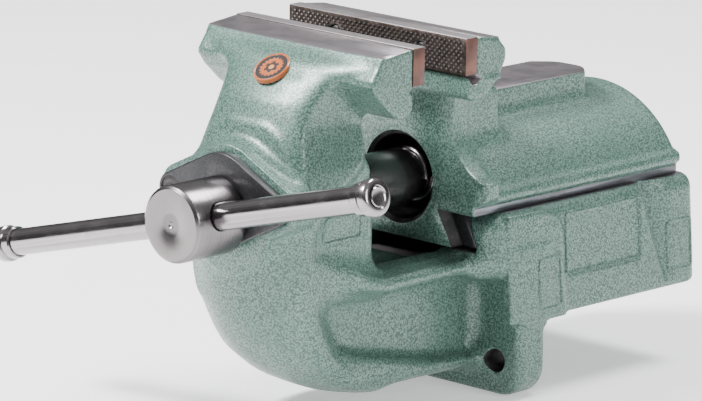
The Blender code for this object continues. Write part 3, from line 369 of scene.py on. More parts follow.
def plate_steel():
    """Hardened jaw plates: brown-black on the gripping face, worn lighter on the edges, with painted shade
    along the bottom edge.
    """
    f = Finish("hardened_plate_steel")
    x, _, z = f.axes()
    scale = f.noise(2.2, 2.2, 2.2, 4.0, 0.65)
    lines = f.noise(50, 0.4, 0.4, 2.0)
    stains = f.noise(16, 9, 9, 3.0)
    top = f.spread(z, JAW_TOP - 0.45, JAW_TOP - 0.2)
    end = f.spread(x * x, (HALF_JAW - 0.4) ** 2, (HALF_JAW - 0.2) ** 2)
    dark = f.blend(f.spread(scale, 0.35, 0.7), (0.045, 0.034, 0.028), (0.105, 0.082, 0.072))
    ground = f.blend(f.spread(lines, 0.3, 0.7), (0.30, 0.275, 0.285), (0.40, 0.375, 0.385))
    ground = f.blend(f.spread(stains, 0.5, 0.8, 0.0, 0.6), ground, (0.17, 0.14, 0.13))
    sawn = f.blend(f.spread(stains, 0.35, 0.7), (0.16, 0.078, 0.062), (0.095, 0.055, 0.048))
    colour = f.blend(top, f.blend(end, dark, sawn), ground)
    # painted shade: the lowest 3 mm of the plate darkened towards its bottom edge, where it sits in the
    # casting's seat
    colour = f.blend(f.spread(z, PLATE_BOTTOM, PLATE_BOTTOM + 3, 0.35, 0.0), colour, (0.02, 0.018, 0.016))
    f.set(Base_Color=colour, Metallic=0.85, Roughness=0.34 + 0.2 * scale, Normal=f.bump(scale, 0.05, 0.5))
    return f.material


def knurl_steel():
    """Knurl points: near black in the valleys, bare and light on the flat tips."""
    f = Finish("knurl_steel")
    _, y, _ = f.axes()
    scale = f.noise(2.2, 2.2, 2.2, 4.0, 0.65)
    depth = f.node("ShaderNodeMath", {"operation": "MINIMUM"}, {
        0: f.node("ShaderNodeMath", {"operation": "ABSOLUTE"}, {0: y}),
        1: f.node("ShaderNodeMath", {"operation": "ABSOLUTE"}, {0: y - SLIDING_GRIP}),
    })
    wear = f.spread(depth + 0.12 * scale, 0.10, 0.24, 1.0, 0.0)
    dark = f.blend(f.spread(scale, 0.3, 0.7), (0.020, 0.016, 0.015), (0.05, 0.038, 0.034))
    colour = f.blend(wear, dark, (0.24, 0.215, 0.205))
    f.set(Base_Color=colour, Metallic=0.85, Roughness=f.spread(depth, 0.0, 0.6, 0.32, 0.55))
    return f.material


def turned_steel(name, base, dark, roughness=0.22, rings=True):
    """Turned or drawn steel along Y, with rings on its end faces."""
    f = Finish(name)
    x, _, z = f.axes()
    radius = (x * x + z * z) ** 0.5
    around = f.node("ShaderNodeTexNoise", {"noise_dimensions": "1D"}, {"W": radius * 2.2, "Detail": 3.0})
    marks = f.noise(90, 0.22, 90, 3.0, 0.6)
    smudge = f.noise(7, 7, 7, 3.0, 0.6)
    stain = f.spread(f.noise(9, 12, 9, 4.0, 0.65, 0.6), 0.56, 0.75, 0.0, 0.4)
    pattern = marks * 0.35 + around * 0.65 if rings else marks
    colour = f.blend(f.spread(pattern, 0.36, 0.64), dark, base)
    colour = f.blend(stain, colour, (0.20, 0.135, 0.10))
    rough = roughness + 0.10 * smudge + 0.06 * pattern
    f.set(Base_Color=colour, Metallic=0.97, Roughness=rough, Normal=f.bump(pattern, 0.03, 0.4))
    return f.material


def bar_steel():
    """Bright drawn bar with faint lengthwise lines and handling marks."""
    f = Finish("bright_bar_steel")
    lean = f.node("ShaderNodeMapping", {"vector_type": "TEXTURE"}, {
        "Vector": f.place, "Rotation": (0, -BAR_TILT, 0), "Scale": (0.12, 0.0007, 0.0007),
    })
    scratches = f.node("ShaderNodeTexNoise", {}, {"Vector": lean, "Scale": 1.0, "Detail": 3.0})
    smudge = f.noise(12, 12, 12, 3.0, 0.6, 0.4)
    colour = f.blend(f.spread(scratches, 0.3, 0.7), (0.27, 0.25, 0.26), (0.37, 0.345, 0.355))
    colour = f.blend(f.spread(smudge, 0.58, 0.8, 0.0, 0.35), colour, (0.22, 0.165, 0.14))
    rough = f.spread(smudge, 0.3, 0.8, 0.11, 0.24)
    f.set(Base_Color=colour, Metallic=1.0, Roughness=rough, Normal=f.bump(scratches, 0.012, 0.2))
    return f.material


def black_steel():
    """Black oxide: satin, slightly brown, rubbed lighter in patches."""
    f = Finish("black_oxide_steel")
    grain = f.noise(0.7, 0.7, 0.7, 3.0)
    wear = f.noise(10, 10, 10, 4.0, 0.65)
    colour = f.blend(f.spread(grain, 0.3, 0.7), (0.016, 0.016, 0.018), (0.042, 0.042, 0.046))
    colour = f.blend(f.spread(wear, 0.58, 0.78, 0.0, 0.4), colour, (0.115, 0.105, 0.10))
    f.set(Base_Color=colour, Metallic=0.6, Roughness=f.spread(wear, 0.3, 0.8, 0.32, 0.5),
          Normal=f.bump(grain, 0.05, 0.35), Coat_Weight=0.2, Coat_Roughness=0.25)
    return f.material


def screw_steel():
    """Small screws and pins: blackened, oily, with bright rubbed spots."""
    f = Finish("blackened_screw_steel")
    grain = f.noise(0.5, 0.5, 0.5, 3.0)
    wear = f.noise(2.5, 2.5, 2.5, 3.0)
    colour = f.blend(f.spread(grain, 0.3, 0.7), (0.035, 0.034, 0.034), (0.09, 0.086, 0.084))
    colour = f.blend(f.spread(wear, 0.6, 0.75, 0.0, 0.7), colour, (0.26, 0.25, 0.25))
    f.set(Base_Color=colour, Metallic=0.9, Roughness=0.3 + 0.2 * wear, Normal=f.bump(grain, 0.04, 0.4))
    return f.material


def badge_enamel():
    """Round badge: a plain orange ground inside a dark toothed ring and an orange rim."""
    f = Finish("orange_badge_enamel")
    local = f.node("ShaderNodeMapping", {"vector_type": "TEXTURE"}, {
        "Vector": f.place, "Location": tuple(DRAWING + Vector(BADGE_PLACE) * MM),
        "Rotation": (BADGE_LEAN, 0, 0), "Scale": (MM, MM, MM),
    })
    parts = f.tree.nodes.new("ShaderNodeSeparateXYZ")
    f.feed(parts.inputs[0], local)
    across, along = Value(f, parts.outputs[0]), Value(f, parts.outputs[2])
    radius = (across * across + along * along) ** 0.5
    angle = f.node("ShaderNodeMath", {"operation": "ARCTAN2"}, {0: along, 1: across})
    teeth = f.node("ShaderNodeMath", {"operation": "SINE"}, {0: angle * 18.0})
    lobes = f.node("ShaderNodeMath", {"operation": "SINE"}, {0: angle * 6.0})
    wavy = radius + 0.8 * f.spread(teeth, -0.3, 0.3)
    ring = f.spread(wavy, 6.6, 6.8) * f.spread(radius, 8.7, 8.9, 1.0, 0.0)
    core = f.spread(radius + 0.9 * f.spread(lobes, -0.3, 0.3), 4.0, 4.2, 1.0, 0.0)
    mottle = f.noise(0.9, 0.9, 0.9, 3.0)
    bright = tuple(bpy.context.scene.vise_colours.badge)
    orange = f.blend(f.spread(mottle, 0.3, 0.7), bright, (0.44, 0.12, 0.03))
    colour = f.blend(ring, orange, (0.022, 0.02, 0.02))
    colour = f.blend(core, colour, (0.035, 0.025, 0.022))
    colour = f.blend(f.spread(radius, 1.5, 1.65, 1.0, 0.0), colour, (0.55, 0.24, 0.08))
    f.set(Base_Color=colour, Roughness=0.24 + 0.15 * mottle, Normal=f.bump(ring + core, 0.12, 0.6),
          Coat_Weight=0.5, Coat_Roughness=0.08)
    return f.material


def pale_floor():
    """Even, nearly white surface."""
    f = Finish("pale_floor")
    tone = f.noise(90, 90, 90, 2.0)
    f.set(Base_Color=f.blend(tone, (0.90, 0.90, 0.90), (0.94, 0.94, 0.94)), Roughness=0.8,
          Emission_Color=(1.0, 1.0, 1.0), Emission_Strength=0.5)
    return f.material


# ---------------------------------------------------------------- outlines
def arc(centre, radius, start, end, steps):
    """Points on a circle in the drawing plane; angles in degrees."""
    angles = [math.radians(start + (end - start) * step / steps) for step in range(steps + 1)]
    return [(centre[0] + radius * math.cos(a), centre[1] + radius * math.sin(a)) for a in angles]


def rounded(corners, steps=5):
    """Outline through corners (a, b, radius); each corner with a radius is rounded off."""
    outline = []
    for index, (a, b, radius) in enumerate(corners):
        here = Vector((a, b))
        if radius <= 0:
            outline.append((a, b))
            continue
        before = (Vector(corners[index - 1][:2]) - here).normalized()
        after = (Vector(corners[(index + 1) % len(corners)][:2]) - here).normalized()
        half_angle = before.angle(after) / 2
        centre = here + (before + after).normalized() * (radius / math.sin(half_angle))
        run = radius / math.tan(half_angle)
        first = here + before * run - centre
        turn = first.angle_signed(here + after * run - centre)
        for step in range(steps + 1):
            spoke = first.copy()
            spoke.rotate(Matrix.Rotation(-turn * step / steps, 2))
            outline.append(tuple(centre + spoke))
    return outline


def mirrored(outline):
    """Mirror an outline's right half (x >= 0) to make it whole."""
    return outline + [(-a, b) for a, b in reversed(outline)]


def lozenge(grow=0.0):
    """Retaining flange outline in X, Z: a middle round and two ears."""
    middle, ear = 24.0 + grow, 8.5 + grow
    lean = math.degrees(math.asin((middle - ear) / FLANGE_EAR))
    return (
        arc((FLANGE_EAR, FLANGE_RISE), ear, -90 + lean, 90 - lean, 14)
        + arc((0, FLANGE_RISE), middle, 90 - lean, 90 + lean, 16)
        + arc((-FLANGE_EAR, FLANGE_RISE), ear, 90 + lean, 270 - lean, 14)
        + arc((0, FLANGE_RISE), middle, 270 - lean, 270 + lean, 16)
    )


# ---------------------------------------------------------------- cast shapes as distance fields
def merge(first, second, blend=1e-6):
    """Union with a fillet: negative is inside."""
    gap = np.maximum(blend - np.abs(first - second), 0) / blend
    return np.minimum(first, second) - gap * gap * blend / 4


def meet(first, second, blend=1e-6):
    """Intersection with a rounded edge."""
    return -merge(-first, -second, blend)


def outline_distance(a, b, outline):
    """Signed distance from points (a, b) to a closed outline."""
    best = np.full(np.broadcast(a, b).shape, 1e9)
    inside = np.zeros(best.shape, bool)
    for (a0, b0), (a1, b1) in zip(outline, outline[1:] + outline[:1]):
        da, db = a1 - a0, b1 - b0
        if da * da + db * db < 1e-12:
            continue
        along = np.clip(((a - a0) * da + (b - b0) * db) / (da * da + db * db), 0, 1)
        best = np.minimum(best, (a - a0 - da * along) ** 2 + (b - b0 - db * along) ** 2)
        inside ^= ((b0 <= b) != (b1 <= b)) & (a < a0 + da * (b - b0) / (db or 1.0))
    return np.where(inside, -1, 1) * np.sqrt(best)


def bar_field(a, b, outline, across, low, high, edge):
    """Outline in a, b carried from low to high, its end edges rounded."""
    return meet(outline_distance(a, b, outline), np.abs(across - (low + high) / 2) - (high - low) / 2, edge)


def box_field(a, b, low_a, high_a, low_b, high_b):
    """Rectangle in two directions."""
    return np.maximum(np.abs(a - (low_a + high_a) / 2) - (high_a - low_a) / 2,
                      np.abs(b - (low_b + high_b) / 2) - (high_b - low_b) / 2)


def round_field(a, b, centre_a, centre_b, radius):
    """Circle in two directions."""
    return np.sqrt((a - centre_a) ** 2 + (b - centre_b) ** 2) - radius


def skin(name, field, low, high, cell):
    """Mesh where a field is zero: one vertex in each crossed cell, then moved onto the surface."""
    low = np.array(low, float)
    counts = np.ceil((np.array(high, float) - low) / cell).astype(int) + 1
    grid = [low[i] + cell * np.arange(counts[i]) for i in range(3)]
    values = field(grid[0][:, None, None], grid[1][None, :, None], grid[2][None, None, :])
    values = np.broadcast_to(values, counts)
    inside = values < 0
    corners = [(i, j, k) for i in (0, 1) for j in (0, 1) for k in (0, 1)]

    def part(array, i, j, k):
        return array[i:counts[0] - 1 + i, j:counts[1] - 1 + j, k:counts[2] - 1 + k]

    some = np.zeros(tuple(counts - 1), bool)
    every = np.ones(tuple(counts - 1), bool)
    for corner in corners:
        some |= part(inside, *corner)
        every &= part(inside, *corner)
    cells = np.argwhere(some & ~every)
    number = np.full(tuple(counts - 1), -1)
    number[tuple(cells.T)] = np.arange(len(cells))
    total = np.zeros((len(cells), 3))
    hits = np.zeros(len(cells))
    for first in corners:
        for axis in range(3):
            if first[axis]:
                continue
            second = list(first)
            second[axis] = 1
            v0 = values[tuple((cells + first).T)]
            v1 = values[tuple((cells + second).T)]
            crossed = (v0 < 0) != (v1 < 0)
            share = np.where(crossed, v0 / np.where(crossed, v0 - v1, 1), 0)
            point = np.array(first, float)[None, :] + np.eye(3)[axis][None, :] * share[:, None]
            total += point * crossed[:, None]
            hits += crossed
    points = low + (cells + total / hits[:, None]) * cell
    start = points.copy()
    for _ in range(5):
        value = field(*points.T)
        slope = np.stack([
            (field(*(points + step).T) - field(*(points - step).T)) / 0.1
            for step in np.eye(3) * 0.05
        ], axis=1)
        size = np.maximum((slope ** 2).sum(1), 0.05)
        points = points - slope * (np.clip(value, -cell, cell) / size)[:, None] * 0.8
        points = start + np.clip(points - start, -0.8 * cell, 0.8 * cell)
    faces = []
    for axis in range(3):
        i, j = (axis + 1) % 3, (axis + 2) % 3
        here = [slice(None)] * 3
        there = [slice(None)] * 3
        here[axis] = slice(0, -1)
        there[axis] = slice(1, None)
        change = inside[tuple(here)] != inside[tuple(there)]
        edges = np.argwhere(change)
        keep = np.ones(len(edges), bool)
        for other in (i, j):
            keep &= (edges[:, other] > 0) & (edges[:, other] < counts[other] - 1)
        edges = edges[keep]
        leaving = inside[tuple(edges.T)]
        ring = []
        for step_i, step_j in ((-1, -1), (0, -1), (0, 0), (-1, 0)):
            spot = edges.copy()
            spot[:, i] += step_i
            spot[:, j] += step_j
            ring.append(number[tuple(spot.T)])
        ring = np.stack(ring, axis=1)
        ring[~leaving] = ring[~leaving][:, ::-1]
        faces.append(ring)
    mesh = bpy.data.meshes.new(name)
    mesh.from_pydata(world_points(points).tolist(), [], np.concatenate(faces).tolist())
    mesh.shade_smooth()
    return mesh


def world_points(points):
    """Drawing millimetres to the frame's metres."""
    return np.asarray(points) * MM + np.array(DRAWING)


# ---------------------------------------------------------------- plain solids and piece helpers
def close(name, bm, smooth_angle=35):
    """Bmesh drawn in millimetres to a placed object, faces outward."""
    bmesh.ops.remove_doubles(bm, verts=bm.verts, dist=1e-4)
    bmesh.ops.recalc_face_normals(bm, faces=bm.faces)
    mesh = bpy.data.meshes.new(name)
    bm.to_mesh(mesh)
    bm.free()
    mesh.transform(Matrix.Translation(DRAWING) @ Matrix.Scale(MM, 4))
    mesh.shade_smooth()
    mesh.set_sharp_from_angle(angle=math.radians(smooth_angle))
    return link(name, mesh)


def link(name, mesh):
    """Object for a mesh, in the scene."""
    obj = bpy.data.objects.new(name, mesh)
    bpy.context.scene.collection.objects.link(obj)
    return obj


def add_prism(bm, outline, low, high, across):
    """Extrude an outline along X (drawn in Y, Z), Y (X, Z) or Z (X, Y)."""
    order = {"X": (2, 0, 1), "Y": (0, 2, 1), "Z": (0, 1, 2)}[across]
    rows = []
    for level in (low, high):
        rows.append([bm.verts.new([(a, b, level)[axis] for axis in order]) for a, b in outline])
    for index in range(len(outline)):
        after = (index + 1) % len(outline)
        bm.faces.new((rows[0][index], rows[0][after], rows[1][after], rows[1][index]))
    bm.faces.new(rows[0][::-1])
    bm.faces.new(rows[1])


def add_turned(bm, profile, centre=(0, 0), segments=64):
    """Spin a profile of (radius, y) about a line along Y through centre (x, z)."""
    rings = []
    for radius, along in profile:
        if radius == 0:
            rings.append([bm.verts.new((centre[0], along, centre[1]))])
            continue
        turn = [math.tau * step / segments for step in range(segments)]
        rings.append([
            bm.verts.new((centre[0] + radius * math.cos(t), along, centre[1] + radius * math.sin(t)))
            for t in turn
        ])
    pairs = list(zip(rings, rings[1:]))
    if profile[0][0] > 0:
        pairs.append((rings[-1], rings[0]))
    for first, second in pairs:
        for index in range(segments):
            after = (index + 1) % segments
            corners = [first[index % len(first)], first[after % len(first)],
                       second[after % len(second)], second[index % len(second)]]
            corners = list(dict.fromkeys(corners))
            if len(corners) > 2:
                bm.faces.new(corners)


def prism(name, outline, low, high, across):
    """One extruded solid."""
    bm = bmesh.new()
    add_prism(bm, outline, low, high, across)
    return close(name, bm)


def turned(name, profile, centre=(0, 0), segments=64):
    """One turned solid."""
    bm = bmesh.new()
    add_turned(bm, profile, centre, segments)
    return close(name, bm)


def box_tool(name, low, high):
    """Rectangular cutter between two corners."""
    corners = [(low[0], low[1]), (high[0], low[1]), (high[0], high[1]), (low[0], high[1])]
    return prism(name, corners, low[2], high[2], "Z")


def rod_tool(name, radius, low, high, centre=(0, 0), segments=48):
    """Cylindrical cutter along Y."""
    return turned(name, [(0, low), (radius, low), (radius, high), (0, high)], centre, segments)


def shape_with(obj, tools, operation="DIFFERENCE", finish=None):
    """Boolean an object with tools, which leave their own finish on the new faces."""
    for tool in tools:
        if finish is not None:
            tool.data.materials.append(finish)
        modifier = obj.modifiers.new(tool.name, "BOOLEAN")
        modifier.operation = operation
        modifier.solver = "EXACT"
        modifier.material_mode = "TRANSFER"
        modifier.object = tool
    settle(obj)
    for tool in tools:
        bpy.data.objects.remove(tool, do_unlink=True)


def settle(obj):
    """Turn an object's modifiers into plain mesh and remove them."""
    bpy.context.view_layer.update()
    evaluated = obj.evaluated_get(bpy.context.evaluated_depsgraph_get())
    mesh = bpy.data.meshes.new_from_object(evaluated)
    obj.modifiers.clear()
    obj.data = mesh
    mesh.name = obj.name
    if not mesh.polygons:
        raise RuntimeError(f"{obj.name} came out empty")


def soften(obj, width, segments=2, angle=40):
    """Small bevel on the sharp edges."""
    bevel = obj.modifiers.new("edge_break", "BEVEL")
    bevel.width = width * MM
    bevel.segments = segments
    bevel.limit_method = "ANGLE"
    bevel.angle_limit = math.radians(angle)
    bevel.harden_normals = False
    settle(obj)
    obj.data.shade_smooth()
    obj.data.set_sharp_from_angle(angle=math.radians(35))


def install(obj, body, nodes, finish=None):
    """Hand a finished piece to its body, in place of its frame nodes."""
    if finish is not None:
        obj.data.materials.clear()
        obj.data.materials.append(finish)
    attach(obj, body)
    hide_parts(*nodes)


def finish_of(name, maker):
    """A material made once and shared."""
    if name not in FINISHES:
        FINISHES[name] = maker()
    return FINISHES[name]


# ---------------------------------------------------------------- the two castings
NECK_STATIONS = [
    # level, reach forward, half width, where the oval starts, back
    (86, 22, 56, -14, -7), (80, 31, 52, -22, -8), (74, 40.5, 47, -30, -10), (70, 44.6, 41.5, -34, -13),
    (66, 48.8, 37.5, -38, -13), (62, 52.2, 34.8, -42, -13), (56, 57, 32.8, -47, -13),
    (50, 60.2, 32.2, -51, -13),
    (44, 63, 32.4, -54, -13), (38, 65.6, 33.6, -56, -13), (30, 69, 36, -57, -13), (22, 72, 38, -58, -16),
    (14, 74, 39.5, -58, -24), (0, 74.9, 40, -57, -40), (-15, 74.9, 40, -56, -50), (-30, 74.5, 39.5, -54, -49),
    (-45, 72, 38.6, -50, -45), (-60, 67, 37.6, -44, -40), (-72, 60, 37, -37, -33), (-84, 49, 36, -24, -21),
    (-93, 36, 34, -11, -8), (-98, 24, 32, 2, 4), (-104, 8, 28, 14, 16),
]


def smooth_table(rows, step=0.5):
    """Resample stations with smooth slopes; returns levels rising and the columns beside them."""
    rows = np.array(sorted(rows), float)
    levels = np.arange(rows[0, 0], rows[-1, 0] + step, step)
    columns = []
    for values in rows[:, 1:].T:
        slopes = np.gradient(values, rows[:, 0])
        index = np.clip(np.searchsorted(rows[:, 0], levels, side="right") - 1, 0, len(rows) - 2)
        span = rows[index + 1, 0] - rows[index, 0]
        t = np.clip((levels - rows[index, 0]) / span, 0, 1)
        columns.append(
            values[index] * (2 * t ** 3 - 3 * t ** 2 + 1) + values[index + 1] * (3 * t ** 2 - 2 * t ** 3)
            + slopes[index] * span * (t ** 3 - 2 * t ** 2 + t) + slopes[index + 1] * span * (t ** 3 - t ** 2)
        )
    return levels, columns


NECK_LEVELS, NECK_COLUMNS = smooth_table(NECK_STATIONS)


def neck_field(x, y, z):
    """Neck, shield and belly: an oval front at every level, straight sides behind it."""
    reach, half, shoulder, back = [np.interp(z, NECK_LEVELS, column) for column in NECK_COLUMNS]
    depth = reach + shoulder
    u = x / half
    v = np.minimum(y - shoulder, 0) / depth
    rho = np.maximum(np.sqrt(u * u + v * v), 0.05)
    slope = np.sqrt((u / half) ** 2 + (v / depth) ** 2) / rho
    shell = (rho - 1) / np.maximum(slope, 0.008)
    shell = meet(shell, y - back, np.interp(z, (10, 30), (17, 4)))
    return meet(shell, np.maximum(z - 80, -101.5 - z), 6)


def guide_wall(z):
    """Half width of the guide at a level: it leans out towards the bottom."""
    return 59.6 + (GUIDE_TOP - z) * 4 / 58.2


def fixed_field(x, y, z):
    """The fixed casting before machining."""
    wide = np.abs(x)
    jaw = bar_field(y, z, rounded([
        (-8.4, 85.0, 0), (-29.6, 82.4, 1.5), (-32.4, 77, 3), (-38.4, 68.6, 3), (-32.6, 61, 6),
        (-23.4, 52.4, 5), (-18, 48.5, 5), (-12, 48.5, 5), (-8.2, 52.6, 4), (-8.2, 62, 0),
    ]), x, -HALF_JAW, HALF_JAW, 2.6)
    body = merge(jaw, neck_field(x, y, z), 8)
    boss = bar_field(x, z, lozenge(3.6), y, BOSS_FACE - 0.4, -60, 2.0)
    ring = meet(round_field(x, z, 0, 0, 30.3), np.abs(y + 68) - 8.7, 2.0)
    body = merge(body, np.minimum(boss, ring), 5)
    tunnel = meet(round_field(x, z, 0, 0, 30), np.maximum(y - TUNNEL_BACK - 0.5, -62 - y), 2.5)
    saddle = bar_field(x, z, mirrored([(27, 12), (33, 3), (33, -44)]), y, -60, TUNNEL_BACK - 4, 4)
    shoulder = bar_field(x, z, mirrored([
        (12, 43), (22, 38.5), (30, 30.5), (34.5, 17), (35, 2), (33, -12), (33, -30),
    ]), y, -62, -12, 2.5)
    body = merge(body, merge(tunnel, saddle, 3), 10)
    body = merge(body, shoulder, 5)
    ledge = meet(outline_distance(y, z, rounded([
        (-56, -25, 3), (-27, -31, 12), (-9, THROAT_FLOOR, 14), (GUIDE_FRONT + 8, THROAT_FLOOR, 0),
        (GUIDE_FRONT + 8, THROAT_FLOOR - 8, 0), (-8, THROAT_FLOOR - 8, 12), (-29, -41, 12), (-56, -38, 3),
    ])), wide - np.interp(y, (-56, -38, -22, -8), (33, 37, 45, 48)), 6)
    body = merge(body, ledge, 11)
    web = meet(outline_distance(y, z, [
        (-60, 16), (-56, -48), (-42, -75), (-16, -92), (LUG_FRONT + 6, -96),
        (LUG_FRONT + 6, -42), (-13, -42), (-13, 16),
    ]), wide - 30, 3)
    body = merge(body, web, 13)
    crown = 5.0 * (x / 38) ** 2
    flange = meet(outline_distance(y, z - crown * (z < -92), [
        (-26, -76), (35, -88.5), (LUG_FRONT + 6, -92), (LUG_FRONT + 6, -101.5),
        (0, -101), (-18, -98), (-26, -93),
    ]), wide - np.interp(y, (-30, 0), (34, 37.6)), 5)
    body = merge(body, flange, 6)
    guide = bar_field(x, z, rounded([
        (59.5, GUIDE_TOP + 0.8, 8), (63.6, GUIDE_BOTTOM, 3),
        (-63.6, GUIDE_BOTTOM, 3), (-59.5, GUIDE_TOP + 0.8, 8),
    ]), y, GUIDE_FRONT - 9, GUIDE_BACK + 0.7, 8)
    guide = meet(guide, GUIDE_FRONT - y, 20)
    guide = meet(guide, -meet(y - 77, z + 48, 18), 10)
    guide = guide_relief(guide, wide, y, z)
    seat = box_field(y, z, LUG_FRONT + 5, LUG_BACK + 17, SEAT_LEVEL - 0.8, GUIDE_BOTTOM + 6)
    seat = meet(seat, wide - 62, 2)
    lug = bar_field(x, z, rounded([
        (60, -34, 0), (62.4, -60, 0), (62.5, BODY_LOW.z, 16),
        (-62.5, BODY_LOW.z, 16), (-62.4, -60, 0), (-60, -34, 0),
    ], 10), y, LUG_FRONT, LUG_BACK + 0.8, 5)
    rear = merge(merge(guide, seat, 1.5), lug, 5)
    return meet(merge(body, rear, 10), BODY_LOW.z + 0.2 - z, 1)


def guide_relief(guide, wide, y, z):
    """Cast panels on the guide's sides: a raised front block, a sunk field and a wedge groove."""
    outward = wide - guide_wall(z)
    lift = 1.1 * np.clip((y - 62) / 20, 0, 1)
    block = meet(meet(y - 108, z + 14.5, 18), np.maximum(outward - lift, -outward - 6), 1.0)
    ends = np.maximum(GUIDE_FRONT + 12 - y, GUIDE_BOTTOM + 0.5 - z)
    guide = merge(guide, meet(block, ends, 1.0), 1.0)
    field = box_field(y, z, 111.5, 168.5, -51, -20)
    guide = meet(guide, -np.maximum(field, -outward - 0.7), 1.0)
    middle = 176 + (GUIDE_TOP - z) * 0.24
    share = np.clip((z - GUIDE_BOTTOM - 6) / (GUIDE_TOP - GUIDE_BOTTOM - 6), 0, 1.2)
    deep = 1.0 + 8.5 * share
    across = np.where(y < middle, (middle - y) * 1.4, (y - middle) * 0.62)
    groove = np.maximum((across - deep - outward) * 0.8, GUIDE_BOTTOM + 6 - z)
    return meet(guide, -groove, 2.0)


def side_wall(y, z):
    """Half width of the fixed casting's side at each point (y, z), found by halving steps."""
    inside, outside = np.full(len(y), 20.0), np.full(len(y), 70.0)
    for _ in range(20):
        middle = (inside + outside) / 2
        solid = fixed_field(middle, y, z) < 0
        inside, outside = np.where(solid, middle, inside), np.where(solid, outside, middle)
    return (inside + outside) / 2


def raised_frames():
    """Thin raised frames on the castings' side walls, each a closed ring sunk into its wall."""
    bm = bmesh.new()
    frames = [(111, 169, -51.5, -19), (191, 210, -62.5, -36), (88, 105, -66, -40), (-45, -17, -15, -2)]
    profile = ((1.1, -1.2), (0.8, 0.35), (0.4, 0.75), (-0.4, 0.75), (-0.8, 0.35), (-1.1, -1.2))
    for low_y, high_y, low_z, high_z in frames:
        for side in (-1, 1):
            loops = []
            for spread, rise in profile:
                edge = 2.5 + spread
                outline = rounded([
                    (low_y - spread, low_z - spread, edge), (high_y + spread, low_z - spread, edge),
                    (high_y + spread, high_z + spread, edge), (low_y - spread, high_z + spread, edge),
                ], 4)
                edges = zip(outline, outline[1:] + outline[:1])
                outline = [(a0 + (a1 - a0) * k / 6, b0 + (b1 - b0) * k / 6)
                           for (a0, b0), (a1, b1) in edges for k in range(6)]
                wall = side_wall(*np.array(outline).T)
                loops.append([bm.verts.new((side * (out + rise), a, b))
                              for (a, b), out in zip(outline, wall)])
            for first, second in zip(loops, loops[1:] + loops[:1]):
                for index in range(len(first)):
                    after = (index + 1) % len(first)
                    bm.faces.new((first[index], first[after], second[after], second[index]))
    frames = close("raised_frames", bm, 60)
    frames.data.materials.append(finish_of("green_hammer_enamel", hammer_paint))
    return frames


def sliding_field(x, y, z):
    """The sliding casting before machining, with its pad and bead."""
    wide = np.abs(x)
    jaw = bar_field(y, z, rounded([
        (37.4, 85.0, 0), (54.4, 82.8, 2), (56.2, 79.6, 2), (60.6, 75, 5), (60.4, 69, 6), (54, 58.5, 6),
        (44, 51, 6), (35, 50.6, 4), (32.2, 54, 3), (32.2, 64.6, 2.5), (37.4, 66, 1),
    ]), x, -HALF_JAW, HALF_JAW, 2.6)
    notch = 62 - np.sqrt(np.maximum(27.0 ** 2 - (z - 33) ** 2, 0))
    flare = meet(wide - notch, np.maximum(np.abs(y - 53.5) - 5.5, np.maximum(z - 58, -z - 4)), 4)
    column = bar_field(y, z, [(48, 66), (48, 8), (92, 8), (88, 46), (70, 60), (56, 68)], x, -34.5, 34.5, 7)
    barrel = meet(round_field(x, z, 0, -31, 62), np.maximum(SLIDE_FRONT - y, -z - 6), 2)
    barrel = meet(barrel, y - SLIDE_BACK, 7)
    body = merge(barrel, merge(column, flare, 8), 6)
    body = merge(body, jaw, 7)
    bead = bar_field(wide, z, rounded([(40, -0.6, 0), (56.5, -0.6, 2.8), (56.5, -7.4, 2.8), (40, -7.4, 0)]),
                     y, SLIDE_FRONT, SLIDE_BACK, 3)
    skirt = meet(box_field(x, z, -53.8, 53.8, SKIRT_BOTTOM - 0.6, -3), np.abs(y - 127.5) - 79.5, 2)
    body = merge(merge(body, bead, 2.2), skirt, 1.0)
    pad = bar_field(x, y, rounded([
        (13.5, 84, 4), (19.5, 100, 12), (19.5, 170, 5), (9, 180.4, 14), (-9, 180.4, 14), (-19.5, 170, 5),
        (-19.5, 100, 12), (-13.5, 84, 4),
    ], 6), z, 15, PAD_TOP + 0.8, 1.5)
    return merge(body, pad, 5)


def band_cutter(name, seat, away, reach):
    """Machines the band on top of a jaw and the seat for its plate, with an undercut."""
    drop = 2.1
    return prism(name, [
        (seat - away * 14, JAW_TOP + 8), (seat + away * reach, JAW_TOP + 8),
        (seat + away * reach, JAW_TOP - 0.6 - drop * reach / 20), (seat, JAW_TOP - 0.6),
        (seat, PLATE_BOTTOM - 0.4), (seat + away * 2.8, PLATE_BOTTOM - 2.2),
        (seat - away * 0.2, PLATE_BOTTOM - 5.4), (seat - away * 3.5, PLATE_BOTTOM - 5.4),
        (seat - away * 6.4, PLATE_BOTTOM - 0.5), (seat - away * 14, PLATE_BOTTOM - 0.5),
    ], -HALF_JAW - 8, HALF_JAW + 8, "X")


